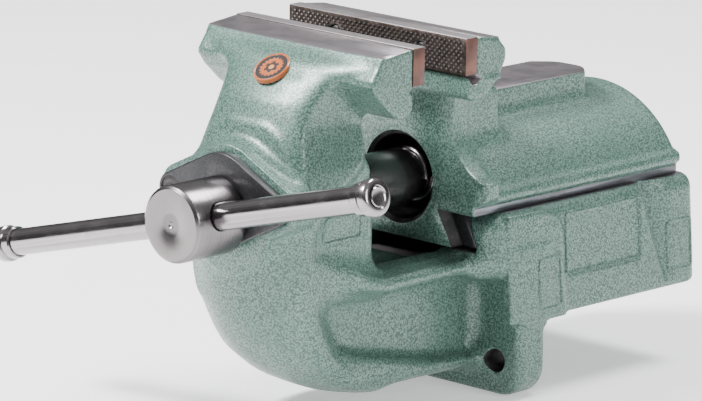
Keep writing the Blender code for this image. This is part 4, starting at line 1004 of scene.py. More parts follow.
def fixed_casting(cell):
    """Cast body with its machined faces, slot, bore and holes."""
    obj = link("fixed_casting", skin("fixed_casting", fixed_field, (-67, -80, -117), (67, 217, 90), cell))
    obj.data.materials.append(finish_of("green_hammer_enamel", hammer_paint))
    iron = finish_of("machined_iron", machined_iron)
    shaded_bore = finish_of("bore_iron_with_painted_shade", shaded_bore_iron)
    floor = DOVETAIL_BOTTOM - 2.3
    flank = DOVETAIL_TOP + (GUIDE_TOP - DOVETAIL_BOTTOM) * DOVETAIL_FLARE
    shape_with(obj, [
        band_cutter("front_band", FIXED_SEAT, -1, 29),
        box_tool("guide_top", (-70, 52, GUIDE_TOP), (70, 222, 8)),
        box_tool("guide_end", (-72, GUIDE_BACK, -80), (72, GUIDE_BACK + 6, GUIDE_TOP - 0.01)),
        box_tool("bench_corner", (-72, LUG_BACK, BODY_LOW.z - 6), (72, LUG_BACK + 24, SEAT_LEVEL)),
        prism("dovetail_way", mirrored([
            (DOVETAIL_TOP, GUIDE_TOP + 6), (DOVETAIL_TOP, GUIDE_TOP), (flank, DOVETAIL_BOTTOM),
            (flank, floor), (26, floor), (26, -41),
        ]), GUIDE_FRONT - 10, GUIDE_BACK + 8, "Y"),
    ], finish=iron)
    shape_with(obj, [
        box_tool("boss_face", (-60, BOSS_FACE - 8, -50), (60, BOSS_FACE, 60)),
        box_tool("tunnel_end", (-40, TUNNEL_BACK, THROAT_FLOOR + 3), (40, TUNNEL_BACK + 6, 40)),
        box_tool("throat_trough", (-24, TUNNEL_BACK + 3, -40.2), (24, GUIDE_FRONT - 2, THROAT_FLOOR + 4)),
    ], finish=finish_of("green_hammer_enamel", hammer_paint))
    holes = [turned("spindle_way", [
        (0, BOSS_FACE - 6), (16.8, BOSS_FACE - 6), (16.8, BOSS_FACE), (SPINDLE_WAY, BOSS_FACE + 1.0),
        (SPINDLE_WAY, TUNNEL_BACK - 1.2), (17.2, TUNNEL_BACK + 0.5),
        (17.2, TUNNEL_BACK + 5), (0, TUNNEL_BACK + 5),
    ], segments=96)]
    for side in (-1, 1):
        holes.append(rod_tool("flange_hole", FLANGE_SCREW_HOLE, BOSS_FACE - 3, FLANGE_LOW.y + 20.6,
                              (side * FLANGE_EAR, FLANGE_RISE)))
        holes.append(rod_tool("plate_hole", PLATE_SCREW_HOLE, -22.1, FIXED_SEAT + 3,
                              (side * SCREW_SPACING / 2, PLATE_MIDDLE)))
        holes.append(rod_tool("bolt_hole", BOLT_HOLE, LUG_FRONT - 6, LUG_BACK + 6,
                              (side * BOLT_SPREAD, BODY_LOW.z + BOLT_RISE)))
    screw_at = ((GIB_SCREW_LOW.x + GIB_SCREW_HIGH.x) / 2, (GIB_SCREW_LOW.z + GIB_SCREW_HIGH.z) / 2)
    holes.append(turned("gib_screw_way", [
        (0, GIB_SCREW_LOW.y - 0.6), (2.8, GIB_SCREW_LOW.y - 0.6), (2.8, GUIDE_BACK - 4.3),
        (5.3, GUIDE_BACK - 4.3), (5.3, GUIDE_BACK + 4), (0, GUIDE_BACK + 4),
    ], screw_at, 48))
    shape_with(obj, holes, finish=shaded_bore)
    join_into(obj, raised_frames())
    return obj


def sliding_casting(cell):
    """Cast slide with its machined faces, dovetail tail, housing and holes."""
    low, high = (-67, 27, -16), (67, 212, 90)
    obj = link("sliding_casting", skin("sliding_casting", sliding_field, low, high, cell))
    paint = finish_of("green_hammer_enamel", hammer_paint)
    iron = finish_of("machined_iron", machined_iron)
    shaded_bore = finish_of("bore_iron_with_painted_shade", shaded_bore_iron)
    obj.data.materials.append(paint)
    shape_with(obj, [
        band_cutter("rear_band", SLIDING_SEAT, 1, 22),
        box_tool("pad_face", (-26, 80, PAD_TOP), (26, 190, PAD_TOP + 6)),
    ], finish=iron)
    shape_with(obj, [
        box_tool("skirt_side_left", (-62, 40, -18), (-53, 215, -8.6)),
        box_tool("skirt_side_right", (53, 40, -18), (62, 215, -8.6)),
        box_tool("skirt_under", (-60, 40, -20), (60, 215, SKIRT_BOTTOM)),
    ], finish=finish_of("ground_strip_iron", strip_iron))
    tail = DOVETAIL_BOTTOM + GAP
    drop = GUIDE_TOP - tail
    right, left = DOVETAIL_TOP - 9 - 4 * GAP, -DOVETAIL_TOP + 2 * GAP
    shape_with(obj, [prism("dovetail_tail", [
        (right, SKIRT_BOTTOM + 4), (right, GUIDE_TOP), (right + drop * DOVETAIL_FLARE, tail),
        (left - drop * DOVETAIL_FLARE, tail), (left, GUIDE_TOP), (left, SKIRT_BOTTOM + 4),
    ], SLIDE_FRONT - 1.5, SLIDE_BACK - 0.05, "Y")], "UNION", shaded_bore)
    shape_with(obj, [box_tool("column_face", (-60, 42, -40), (60, SLIDE_FRONT, 49))], finish=paint)
    start = math.degrees(math.asin((-22 + 31) / 52))
    shape_with(obj, [
        prism("housing", rounded([(a, b, 0) for a, b in arc((0, -31), 52, start, 180 - start, 64)]),
              NUT_WALL, SLIDE_BACK + 6, "Y"),
    ], finish=paint)
    holes = [turned("slide_way", [
        (0, SLIDE_FRONT - 5), (24.4, SLIDE_FRONT - 5), (24.4, SLIDE_FRONT), (22.4, SLIDE_FRONT + 2),
        (22.4, SLIDE_FRONT + 28), (20.3, SLIDE_FRONT + 28.5), (20.3, NUT_WALL + 5), (0, NUT_WALL + 5),
    ], segments=96)]
    for side in (-1, 1):
        holes.append(rod_tool("nut_screw_hole", NUT_SCREW_HOLE, NUT_HIGH.y - 20.6, NUT_WALL + 4,
                              (side * NUT_SCREW_SPREAD, 0)))
        holes.append(rod_tool("plate_hole", PLATE_SCREW_HOLE, SLIDING_SEAT - 3, SLIDING_GRIP + 22.1,
                              (side * SCREW_SPACING / 2, PLATE_MIDDLE)))
    shape_with(obj, holes, finish=shaded_bore)
    return obj


# ---------------------------------------------------------------- Geometry Nodes
class Tree:
    """A Geometry Nodes tree under construction."""

    def __init__(self, name, numbers):
        self.group = bpy.data.node_groups.new(name, "GeometryNodeTree")
        face = self.group.interface
        face.new_socket(name="Geometry", in_out="OUTPUT", socket_type="NodeSocketGeometry")
        face.new_socket(name="Geometry", in_out="INPUT", socket_type="NodeSocketGeometry")
        self.keys = {}
        for label, value in numbers.items():
            kind = "NodeSocketInt" if isinstance(value, int) else "NodeSocketFloat"
            socket = face.new_socket(name=label, in_out="INPUT", socket_type=kind)
            self.keys[label] = (socket.identifier, value)
        self.enter = self.group.nodes.new("NodeGroupInput")
        self.leave = self.group.nodes.new("NodeGroupOutput")

    def node(self, kind, settings=None, inputs=None):
        """Add a node with its settings; inputs are links or plain values."""
        node = self.group.nodes.new(kind)
        for key, value in (settings or {}).items():
            setattr(node, key, value)
        for key, value in (inputs or {}).items():
            if isinstance(value, bpy.types.NodeSocket):
                self.group.links.new(value, node.inputs[key])
            else:
                node.inputs[key].default_value = value
        return node

    def value(self, label):
        """One of the named inputs."""
        return self.enter.outputs[label]

    def sum(self, operation, first, second):
        """Arithmetic on two numbers or sockets."""
        return self.node("ShaderNodeMath", {"operation": operation}, {0: first, 1: second}).outputs[0]

    def point(self, x=0.0, y=0.0, z=0.0):
        """A vector from three numbers or sockets."""
        return self.node("ShaderNodeCombineXYZ", {}, {"X": x, "Y": y, "Z": z}).outputs[0]

    def finish(self, geometry, material):
        """End in Realize Instances and Set Material."""
        real = self.node("GeometryNodeRealizeInstances", {}, {"Geometry": geometry})
        coated = self.node("GeometryNodeSetMaterial", {}, {"Geometry": real.outputs[0], "Material": material})
        self.group.links.new(coated.outputs[0], self.leave.inputs[0])

    def run(self, obj):
        """Apply the tree to an object and leave plain mesh."""
        modifier = obj.modifiers.new(self.group.name, "NODES")
        modifier.node_group = self.group
        for identifier, value in self.keys.values():
            modifier[identifier] = value
        settle(obj)


def knurl(grip, outward, finish):
    """Diamond points over a gripping face, left out round the two screw holes."""
    sizes = bpy.context.scene.vise_sizes
    pitch = sizes.knurl_pitch
    height = sizes.knurl_height
    columns = int((2 * HALF_JAW - 1.2) * MM / pitch)
    rows = int((JAW_TOP - PLATE_BOTTOM - 0.6) * MM / (pitch / 2))
    tree = Tree("diamond_knurl", {"Pitch": pitch, "Height": height, "Columns": columns, "Rows": rows,
                                  "Hole spacing": SCREW_SPACING * MM, "Hole clearance": 4.6 * MM})
    half = tree.sum("MULTIPLY", tree.value("Pitch"), 0.5)
    sets = []
    for shift in (0.0, 0.5):
        gaps = tree.sum("SUBTRACT", tree.value("Columns"), 1 + 2 * shift)
        width = tree.sum("MULTIPLY", gaps, tree.value("Pitch"))
        count_x = tree.sum("SUBTRACT", tree.value("Columns"), 2 * shift)
        count_y = tree.sum("FLOOR", tree.sum("MULTIPLY", tree.value("Rows"), 0.5), 0.0)
        tall = tree.sum("MULTIPLY", tree.sum("SUBTRACT", count_y, 1.0), tree.value("Pitch"))
        grid = tree.node("GeometryNodeMeshGrid", {}, {"Size X": width, "Size Y": tall,
                                                     "Vertices X": count_x, "Vertices Y": count_y})
        lift = tree.sum("MULTIPLY", half, 0.5 if shift else -0.5)
        moved = tree.node("GeometryNodeTransform", {}, {
            "Geometry": grid.outputs[0], "Translation": tree.point(y=lift)})
        sets.append(moved.outputs[0])
    both = tree.node("GeometryNodeJoinGeometry")
    for geometry in sets:
        tree.group.links.new(geometry, both.inputs[0])
    place = tree.node("GeometryNodeInputPosition").outputs[0]
    parts = tree.node("ShaderNodeSeparateXYZ", {}, {0: place})
    aside = tree.sum("SUBTRACT", tree.sum("ABSOLUTE", parts.outputs[0], 0.0),
                     tree.sum("MULTIPLY", tree.value("Hole spacing"), 0.5))
    across = tree.point(x=aside, y=parts.outputs[1])
    away = tree.node("ShaderNodeVectorMath", {"operation": "LENGTH"}, {0: across})
    near = tree.sum("LESS_THAN", away.outputs["Value"], tree.value("Hole clearance"))
    kept = tree.node("GeometryNodeDeleteGeometry", {}, {"Geometry": both.outputs[0], "Selection": near})
    point = tree.node("GeometryNodeMeshCone", {}, {
        "Vertices": 4, "Radius Top": tree.sum("MULTIPLY", half, 0.24),
        "Radius Bottom": tree.sum("MULTIPLY", half, 1.0), "Depth": tree.value("Height")})
    flat = tree.node("GeometryNodeSetShadeSmooth", {}, {"Geometry": point.outputs[0], "Shade Smooth": False})
    many = tree.node("GeometryNodeInstanceOnPoints", {}, {
        "Points": kept.outputs[0], "Instance": flat.outputs[0]})
    tree.finish(many.outputs[0], finish)
    obj = link("knurl", bpy.data.meshes.new("knurl"))
    tree.run(obj)
    turn = Matrix.Rotation(math.radians(90), 4, "X")
    if outward > 0:
        turn = Matrix.Rotation(math.pi, 4, "Z") @ turn
    base = DRAWING + Vector((0, grip * MM - outward * height, PLATE_MIDDLE * MM))
    obj.data.transform(Matrix.Translation(base) @ turn)
    return obj


def jaw_plate(name, grip, outward, body, node):
    """Hardened plate: ground back and edges, knurled gripping face, two screw holes."""
    sizes = bpy.context.scene.vise_sizes
    sunk = grip - outward * (sizes.knurl_height / MM - 0.12)
    back = grip - outward * 9.0
    low, high = sorted((sunk, back))
    plate = prism(name, [(-HALF_JAW, PLATE_BOTTOM), (HALF_JAW, PLATE_BOTTOM), (HALF_JAW, JAW_TOP),
                         (-HALF_JAW, JAW_TOP)], low, high, "Y")
    steel = finish_of("hardened_plate_steel", plate_steel)
    plate.data.materials.append(steel)
    shape_with(plate, [
        turned("plate_hole", [
            (0, sunk + outward * 4), (4.6, sunk + outward * 4), (4.6, sunk), (3.3, sunk - outward * 1.3),
            (3.3, back - outward * 3), (0, back - outward * 3),
        ], (side * SCREW_SPACING / 2, PLATE_MIDDLE), 48) for side in (-1, 1)
    ], finish=finish_of("blackened_screw_steel", screw_steel))
    soften(plate, 0.35)
    points = knurl(grip, outward, finish_of("knurl_steel", knurl_steel))
    join_into(plate, points)
    install(plate, body, [node])


def join_into(obj, other):
    """Add another object's mesh to an object, keeping its finish."""
    bm = bmesh.new()
    bm.from_mesh(obj.data)
    count = len(bm.faces)
    bm.from_mesh(other.data)
    bm.faces.ensure_lookup_table()
    material = [made for made in other.data.materials if made is not None][0]
    if material.name not in obj.data.materials:
        obj.data.materials.append(material)
    slot = list(obj.data.materials).index(material)
    for face in bm.faces[count:]:
        face.material_index = slot
    bm.to_mesh(obj.data)
    bm.free()
    bpy.data.objects.remove(other, do_unlink=True)


def paired(name, sample, spacing, finish):
    """Two copies of a part drawn at x = 0, one each side, made by a Geometry Nodes tree."""
    tree = Tree(name, {"Spacing": spacing * MM})
    half = tree.sum("MULTIPLY", tree.value("Spacing"), 0.5)
    line = tree.node("GeometryNodeMeshLine", {"mode": "END_POINTS"}, {
        "Count": 2, "Start Location": tree.point(x=tree.sum("MULTIPLY", half, -1.0)),
        "Offset": tree.point(x=half)})
    many = tree.node("GeometryNodeInstanceOnPoints", {}, {
        "Points": line.outputs[0], "Instance": tree.enter.outputs[0]})
    tree.finish(many.outputs[0], finish)
    sample.name = name
    tree.run(sample)
    return sample


def slotted(obj, across, low, high, level, width=1.0, reach=12.0):
    """Cut a driver slot across a screw's end."""
    outline = [(across[0] - reach, level - width / 2), (across[0] + reach, level - width / 2),
               (across[0] + reach, level + width / 2), (across[0] - reach, level + width / 2)]
    shape_with(obj, [prism("driver_slot", outline, low, high, "Y")])


def socketed(obj, centre, low, high, radius):
    """Cut a hexagon socket into a screw's end."""
    turns = [math.radians(60 * k) for k in range(6)]
    corners = [(centre[0] + radius * math.cos(turn), centre[1] + radius * math.sin(turn)) for turn in turns]
    shape_with(obj, [prism("hex_socket", corners, low, high, "Y")])


# ---------------------------------------------------------------- steel pieces
def thread(start, end, crest, root, pitch, finish):
    """A trapezoid thread wound on a core by a Geometry Nodes tree."""
    turns = (end - start) / pitch
    tree = Tree("spindle_thread", {"Pitch": pitch * MM, "Turns": turns, "Crest radius": crest * MM,
                                   "Root radius": root * MM, "Steps per turn": 64})
    middle = tree.sum("MULTIPLY", tree.sum("ADD", tree.value("Crest radius"), tree.value("Root radius")), 0.5)
    rise = tree.sum("MULTIPLY", tree.value("Pitch"), tree.value("Turns"))
    spiral = tree.node("GeometryNodeCurveSpiral", {}, {
        "Resolution": tree.value("Steps per turn"), "Rotations": tree.value("Turns"), "Start Radius": middle,
        "End Radius": middle, "Height": rise, "Reverse": False})
    upright = tree.node("GeometryNodeSetCurveNormal", {"mode": "Z_UP"}, {"Curve": spiral.outputs[0]})
    flank = tree.sum("SUBTRACT", tree.value("Crest radius"), tree.value("Root radius"))
    deep = tree.sum("ADD", flank, 0.0008)
    section = tree.node("GeometryNodeCurvePrimitiveQuadrilateral", {"mode": "TRAPEZOID"}, {
        "Height": deep, "Bottom Width": tree.sum("MULTIPLY", tree.value("Pitch"), 0.72),
        "Top Width": tree.sum("MULTIPLY", tree.value("Pitch"), 0.36), "Offset": 0.0})
    turned_section = tree.node("GeometryNodeTransform", {}, {
        "Geometry": section.outputs[0], "Rotation": (0, 0, math.radians(90))})
    swept = tree.node("GeometryNodeCurveToMesh", {}, {
        "Curve": upright.outputs[0], "Profile Curve": turned_section.outputs[0], "Fill Caps": True})
    tree.finish(swept.outputs[0], finish)
    obj = link("thread", bpy.data.meshes.new("thread"))
    tree.run(obj)
    along = Matrix.Rotation(math.radians(-90), 4, "X")
    obj.data.transform(Matrix.Translation(DRAWING + Vector((0, start * MM, 0))) @ along)
    return obj


def spindle_piece():
    """Head with bar hole and turned rings, smooth shank and wound thread."""
    end = SPINDLE_HIGH.y
    core = 12.2
    spindle = turned("spindle_screw", [
        (0, HEAD_FRONT + 1.1), (1.1, HEAD_FRONT + 0.9), (1.8, HEAD_FRONT + 0.25), (5.8, HEAD_FRONT + 0.22),
        (6.1, HEAD_FRONT + 0.05), (HEAD_RADIUS - 1.9, HEAD_FRONT), (HEAD_RADIUS - 0.4, HEAD_FRONT + 1.0),
        (HEAD_RADIUS, HEAD_FRONT + 1.9), (HEAD_RADIUS, HEAD_BACK - 1.2), (HEAD_RADIUS - 1.0, HEAD_BACK),
        (GROOVE_RADIUS, HEAD_BACK), (GROOVE_RADIUS, BOSS_FACE), (SPINDLE_RADIUS, BOSS_FACE),
        (SPINDLE_RADIUS, THREAD_START - 2.6), (core, THREAD_START),
        (core, end - 1.2), (core - 1.4, end), (0, end),
    ], segments=128)
    bright = finish_of("turned_spindle_steel", lambda: turned_steel(
        "turned_spindle_steel", (0.27, 0.25, 0.26), (0.10, 0.092, 0.097), 0.16))
    spindle.data.materials.append(bright)
    lean = Matrix.Rotation(-BAR_TILT, 4, "Y") @ Matrix.Rotation(math.radians(-90), 4, "Z")
    middle = Vector((0, HEAD_BACK - HEAD_LENGTH / 2, 0)) * MM
    way = turned("bar_way", [
        (0, -30), (9.5, -30), (9.5, -21.5), (BAR_RADIUS + GAP, -18.2), (BAR_RADIUS + GAP, 18.2),
        (9.5, 21.5), (9.5, 30), (0, 30),
    ])
    way.data.transform(
        Matrix.Translation(DRAWING + middle) @ lean @ Matrix.Translation(-DRAWING))
    shape_with(spindle, [way], finish=bright)
    spindle.data.shade_smooth()
    spindle.data.set_sharp_from_angle(angle=math.radians(30))
    wound = thread(THREAD_START + 3.2, end - 4.5, SPINDLE_RADIUS, core, 6.0, bright)
    join_into(spindle, wound)
    install(spindle, "spindle", ["spindle"])


def nut_steel():
    """Machined nut: grey steel with cutter marks."""
    return turned_steel("turned_nut_steel", (0.30, 0.29, 0.28), (0.17, 0.165, 0.16), 0.36, False)


def flange_piece():
    """Black retaining flange with countersunk ears, slotted from below for the spindle's groove."""
    front, back = FLANGE_LOW.y, FLANGE_HIGH.y
    plate = prism("retaining_flange", lozenge(), front, back, "Y")
    neck = GROOVE_RADIUS + GAP
    ways = [prism("flange_slot", arc((0, 0), neck, 0, 180, 32) + [(-neck, -40), (neck, -40)],
                  front - 3, back + 3, "Y")]
    for side in (-1, 1):
        ways.append(turned("countersink", [
            (0, front - 1), (7.8, front - 1), (3.8, front + 3), (3.8, back + 3), (0, back + 3),
        ], (side * FLANGE_EAR, FLANGE_RISE), 48))
    shape_with(plate, ways)
    soften(plate, 0.7, 3, 50)
    install(plate, "body", ["spindle_flange"], finish_of("black_oxide_steel", black_steel))


def screw_pairs():
    """The slotted, socket and cheese-head screws, each pair by one tree."""
    dark = finish_of("blackened_screw_steel", screw_steel)
    front = FLANGE_LOW.y + 0.3
    at = (0, FLANGE_RISE)
    sunk = turned("flange_screw", [
        (0, front - 0.1), (4.8, front), (6.4, front + 0.25), (3.5, front + 3.0), (3.5, front + 18.5),
        (2.7, front + 19.7), (0, front + 19.7),
    ], at, 48)
    slotted(sunk, at, front - 3, front + 1.5, FLANGE_RISE, 1.2)
    paired("flange_screws", sunk, 2 * FLANGE_EAR, dark)
    install(sunk, "body", ["flange_screw_left", "flange_screw_right"])
    for word, grip, inward, body in (("front", 0.0, -1, "body"), ("rear", SLIDING_GRIP, 1, "slide")):
        head, tip = grip + inward * 1.5, grip + inward * 21.5
        at = (0, PLATE_MIDDLE)
        screw = turned(f"{word}_plate_screw", [
            (0, head), (2.6, head), (3.0, head + inward * 0.4),
            (3.0, tip - inward * 1.0), (2.1, tip), (0, tip),
        ], at, 48)
        socketed(screw, at, *sorted((head - inward * 2, head + inward * 1.8)), 1.7)
        paired(f"{word}_plate_screws", screw, SCREW_SPACING, dark)
        nodes = [f"{word}_plate_screw_left", f"{word}_plate_screw_right"]
        install(screw, body, nodes)
    back = NUT_HIGH.y + GAP
    cheese = turned("nut_screw", [
        (0, back + 4), (3.9, back + 4), (4.5, back + 3.4), (4.5, back), (2.5, back), (2.5, back - 19.2),
        (1.8, back - 20.2), (0, back - 20.2),
    ], segments=48)
    slotted(cheese, (0, 0), back + 2.5, back + 7, 0.0, 1.1)
    paired("nut_screws", cheese, 54, dark)
    install(cheese, "slide", ["nut_screw_left", "nut_screw_right"])


def nut_piece():
    """Nut with its flange inside the housing."""
    back = NUT_HIGH.y
    nut = rod_tool("flanged_nut", 20.0, NUT_LOW.y, NUT_WALL + 2, segments=96)
    half, roof = 34.0, 50.0
    start = math.degrees(math.acos(half / roof))
    flange = prism("nut_flange", arc((0, -31), roof, start, 180 - start, 24) + rounded([
        (-half, -20, 6), (half, -20, 6), (0, 0, 0)])[:-1], NUT_WALL + GAP, back, "Y")
    shape_with(nut, [flange], "UNION")
    shape_with(nut, [turned("nut_way", [
        (0, NUT_LOW.y - 4), (17, NUT_LOW.y - 4), (17, NUT_LOW.y), (15.3, NUT_LOW.y + 1.7), (15.3, back - 1.7),
        (17, back), (17, back + 4), (0, back + 4),
    ], segments=96)] + [
        rod_tool("nut_hole", NUT_SCREW_HOLE, NUT_WALL - 5, back + 4, (side * NUT_SCREW_SPREAD, 0))
        for side in (-1, 1)
    ])
    soften(nut, 0.5)
    install(nut, "slide", ["spindle_nut"], finish_of("nut_steel", nut_steel))


def handle_pieces():
    """Tommy bar and its two riveted caps."""
    half = BAR_LENGTH / 2
    shoulder = half - 13.0
    bar = turned("tommy_bar", [
        (0, -half + 0.5), (3.6, -half + 0.35), (4.6, -half), (5.0, -half + 0.4), (5.0, -shoulder),
        (6.4, -shoulder), (BAR_RADIUS, -shoulder + 0.6), (BAR_RADIUS, shoulder - 0.6), (6.4, shoulder),
        (5.0, shoulder), (5.0, half - 0.4), (4.6, half), (3.6, half - 0.35), (0, half - 0.5),
    ], segments=96)
    caps = []
    for side in (-1, 1):
        start = side * (shoulder + GAP)
        caps.append(turned("cap", [
            (5.3, start), (7.6, start), (8.3, start + side * 0.7), (8.3, start + side * 4.9),
            (7.5, start + side * 5.5), (7.5, start + side * 6.1), (9.0, start + side * 6.6),
            (9.4, start + side * 7.1), (9.4, start + side * 10.6), (8.9, start + side * 11.6),
            (7.9, start + side * 12.2), (5.9, start + side * 12.3), (5.3, start + side * 11.9),
        ], segments=96))
    lean = Matrix.Rotation(-BAR_TILT, 4, "Y") @ Matrix.Rotation(math.radians(-90), 4, "Z")
    middle = Vector((0, (HEAD_BACK - HEAD_LENGTH / 2) * MM, 0))
    origin = Matrix.Translation(Vector((0, BAR_OFFSET * MM, 0)) - DRAWING)
    place = Matrix.Translation(DRAWING + middle) @ lean @ origin
    for piece in (bar, *caps):
        piece.data.transform(place)
    caps[0].name, caps[1].name = "bar_cap_left", "bar_cap_right"
    bright = finish_of("bright_bar_steel", bar_steel)
    install(bar, "handle", ["handle_bar"], bright)
    install(caps[0], "handle", ["handle_cap_left"], bright)
    install(caps[1], "handle", ["handle_cap_right"], bright)


def gib_pieces():
    """Adjusting strip in the dovetail and the screw that holds it."""
    top = DOVETAIL_TOP - GAP + 0.6 * DOVETAIL_FLARE
    drop = GUIDE_TOP - 0.6 - DOVETAIL_BOTTOM
    gib = prism("gib_strip", [
        (top, GUIDE_TOP - 0.6), (top + drop * DOVETAIL_FLARE, DOVETAIL_BOTTOM),
        (top + drop * DOVETAIL_FLARE - 9, DOVETAIL_BOTTOM), (top - 9, GUIDE_TOP - 0.6),
    ], GIB_LOW.y, GIB_HIGH.y, "Y")
    soften(gib, 0.4)
    install(gib, "body", ["taper_gib"], finish_of("black_oxide_steel", black_steel))
    at = ((GIB_SCREW_LOW.x + GIB_SCREW_HIGH.x) / 2, (GIB_SCREW_LOW.z + GIB_SCREW_HIGH.z) / 2)
    end = GIB_SCREW_HIGH.y
    screw = turned("gib_adjuster", [
        (0, end), (4.2, end), (5.0, end - 0.6), (5.0, end - 4), (2.5, end - 4), (2.5, end - 17),
        (1.7, end - 18), (0, end - 18),
    ], at, 48)
    slotted(screw, at, end - 1.5, end + 3, at[1], 1.1)
    install(screw, "body", ["gib_screw"], finish_of("blackened_screw_steel", screw_steel))


def badge_piece():
    """Round enamel badge with a raised rim on the sloping neck."""
    profile = [
        (0, -0.55), (9.0, -0.55), (9.2, -0.75), (9.7, -0.75), (10, -0.45), (10, 1.6), (0, 1.6),
    ]
    badge = turned("round_badge", profile, segments=96)
    place = (Matrix.Translation(DRAWING + Vector(BADGE_PLACE) * MM)
             @ Matrix.Rotation(BADGE_LEAN, 4, "X") @ Matrix.Translation(-DRAWING))
    badge.data.transform(place)
    install(badge, "body", ["badge"], finish_of("badge_enamel", badge_enamel))


def soft_light(name, place, target, size, power, tint=(1, 1, 1)):
    """Area light aimed at a point."""
    light = bpy.data.lights.new(name, "AREA")
    light.shape = "RECTANGLE"
    light.size, light.size_y = size
    light.energy = power
    light.color = tint
    obj = bpy.data.objects.new(name, light)
    bpy.context.scene.collection.objects.link(obj)
    obj.location = place
    obj.rotation_mode = "QUATERNION"
    obj.rotation_quaternion = (Vector(target) - Vector(place)).to_track_quat("-Z", "Y")
    return obj


def camera():
    """Long lens, level with the front right corner."""
    turn, rise, roll = math.radians(43.71), math.radians(12.87), math.radians(0.87)
    forward = Vector((-math.sin(turn) * math.cos(rise), math.cos(turn) * math.cos(rise), -math.sin(rise)))
    right = Vector((math.cos(turn), math.sin(turn), 0))
    up = right.cross(forward)
    right, up = right * math.cos(roll) + up * math.sin(roll), up * math.cos(roll) - right * math.sin(roll)
    lens = bpy.data.cameras.new("camera")
    lens.sensor_width = 36
    lens.lens = 274.6
    lens.clip_start, lens.clip_end = 0.1, 50
    obj = bpy.data.objects.new("camera", lens)
    bpy.context.scene.collection.objects.link(obj)
    place = Vector((1.8457, -2.0214, 0.6759))
    obj.matrix_world = Matrix.Translation(place) @ Matrix((right, up, -forward)).transposed().to_4x4()
    bpy.context.scene.camera = obj


def floor_and_light():
    """Pale floor under the lugs, three soft lights and a pale world."""
    level = CAD_BOX[0].z - 0.0003
    bm = bmesh.new()
    reach = 6.0
    bm.faces.new([bm.verts.new((x, y, level)) for x, y in (
        (-reach, -reach), (reach, -reach), (reach, reach), (-reach, reach))])
    mesh = bpy.data.meshes.new("floor")
    bm.to_mesh(mesh)
    bm.free()
    floor = link("floor", mesh)
    mesh.materials.append(finish_of("pale_floor", pale_floor))
    middle = (0, 0, 0.03)
    key = soft_light("key_light", (-0.8, -1.2, 1.6), middle, (0.6, 0.45), 110)
    side = soft_light("side_light", (1.9, 0.1, 0.7), middle, (0.4, 0.8), 16)
    top = soft_light("top_light", (0.3, 0.7, 1.9), middle, (0.9, 0.6), 52)
    world = bpy.data.worlds.new("pale_room")
    world.use_nodes = True
    tree = world.node_tree
    ramp = tree.nodes.new("ShaderNodeValToRGB")
    stops = ((0.0, 0.97), (0.50, 0.92), (0.53, 0.16), (0.66, 0.34), (0.80, 1.0))
    while len(ramp.color_ramp.elements) < len(stops):
        ramp.color_ramp.elements.new(0.5)
    for element, (position, level) in zip(ramp.color_ramp.elements, stops):
        element.position = position
        element.color = (level, level, level, 1.0)
    parts = tree.nodes.new("ShaderNodeSeparateXYZ")
    height = tree.nodes.new("ShaderNodeMapRange")
    height.inputs["From Min"].default_value = -1.0
    tree.links.new(tree.nodes.new("ShaderNodeTexCoord").outputs["Generated"], parts.inputs[0])
    tree.links.new(parts.outputs[2], height.inputs["Value"])
    tree.links.new(height.outputs[0], ramp.inputs[0])
    tree.links.new(ramp.outputs[0], tree.nodes["Background"].inputs["Color"])
    tree.nodes["Background"].inputs["Strength"].default_value = 0.5
    bpy.context.scene.world = world
    camera()


# ---------------------------------------------------------------- sizes, colours, operators
class ViseSizes(bpy.types.PropertyGroup):
    """Sizes a user may change."""

    cast_detail: FloatProperty(
        name="Cast detail", description="Cell size of the cast surfaces", default=1.6 * MM,
        min=1.0 * MM, max=5.0 * MM, unit="LENGTH")
    knurl_pitch: FloatProperty(
        name="Knurl pitch", description="Distance between diamond points along the jaw", default=3.3 * MM,
        min=1.5 * MM, max=6.0 * MM, unit="LENGTH")
    knurl_height: FloatProperty(
        name="Knurl height", description="Height of the diamond points", default=0.8 * MM,
        min=0.3 * MM, max=1.5 * MM, unit="LENGTH")


class ViseColours(bpy.types.PropertyGroup):
    """Colours a user may change."""

    paint: FloatVectorProperty(
        name="Enamel", description="Middle tone of the hammered enamel", subtype="COLOR",
        default=(0.062, 0.132, 0.104), min=0, max=1)
    paint_dark: FloatVectorProperty(
        name="Enamel, dark", description="Rims of the hammered dimples", subtype="COLOR",
        default=(0.026, 0.066, 0.051), min=0, max=1)
    paint_light: FloatVectorProperty(
        name="Enamel, light", description="Middles of the hammered dimples", subtype="COLOR",
        default=(0.150, 0.245, 0.208), min=0, max=1)
    machined: FloatVectorProperty(
        name="Machined iron", description="Ground faces of the castings", subtype="COLOR",
        default=(0.30, 0.275, 0.295), min=0, max=1)
    badge: FloatVectorProperty(
        name="Badge", description="Ground of the round badge", subtype="COLOR",
        default=(0.36, 0.085, 0.02), min=0, max=1)


class VISE_OT_fixed_casting(bpy.types.Operator):
    """Cast body with its machined faces, slot, bores and holes"""

    bl_idname = "vise.fixed_casting"
    bl_label = "Fixed casting"
    bl_options = {"REGISTER", "UNDO"}

    def execute(self, context):
        detail = context.scene.vise_sizes.cast_detail / MM
        obj = fixed_casting(detail)
        install(obj, "body", ["fixed_body"])
        return {"FINISHED"}


class VISE_OT_sliding_casting(bpy.types.Operator):
    """Cast slide with its dovetail tail, housing and holes"""

    bl_idname = "vise.sliding_casting"
    bl_label = "Sliding casting"
    bl_options = {"REGISTER", "UNDO"}

    def execute(self, context):
        detail = context.scene.vise_sizes.cast_detail / MM
        obj = sliding_casting(detail)
        install(obj, "slide", ["sliding_jaw"])
        return {"FINISHED"}


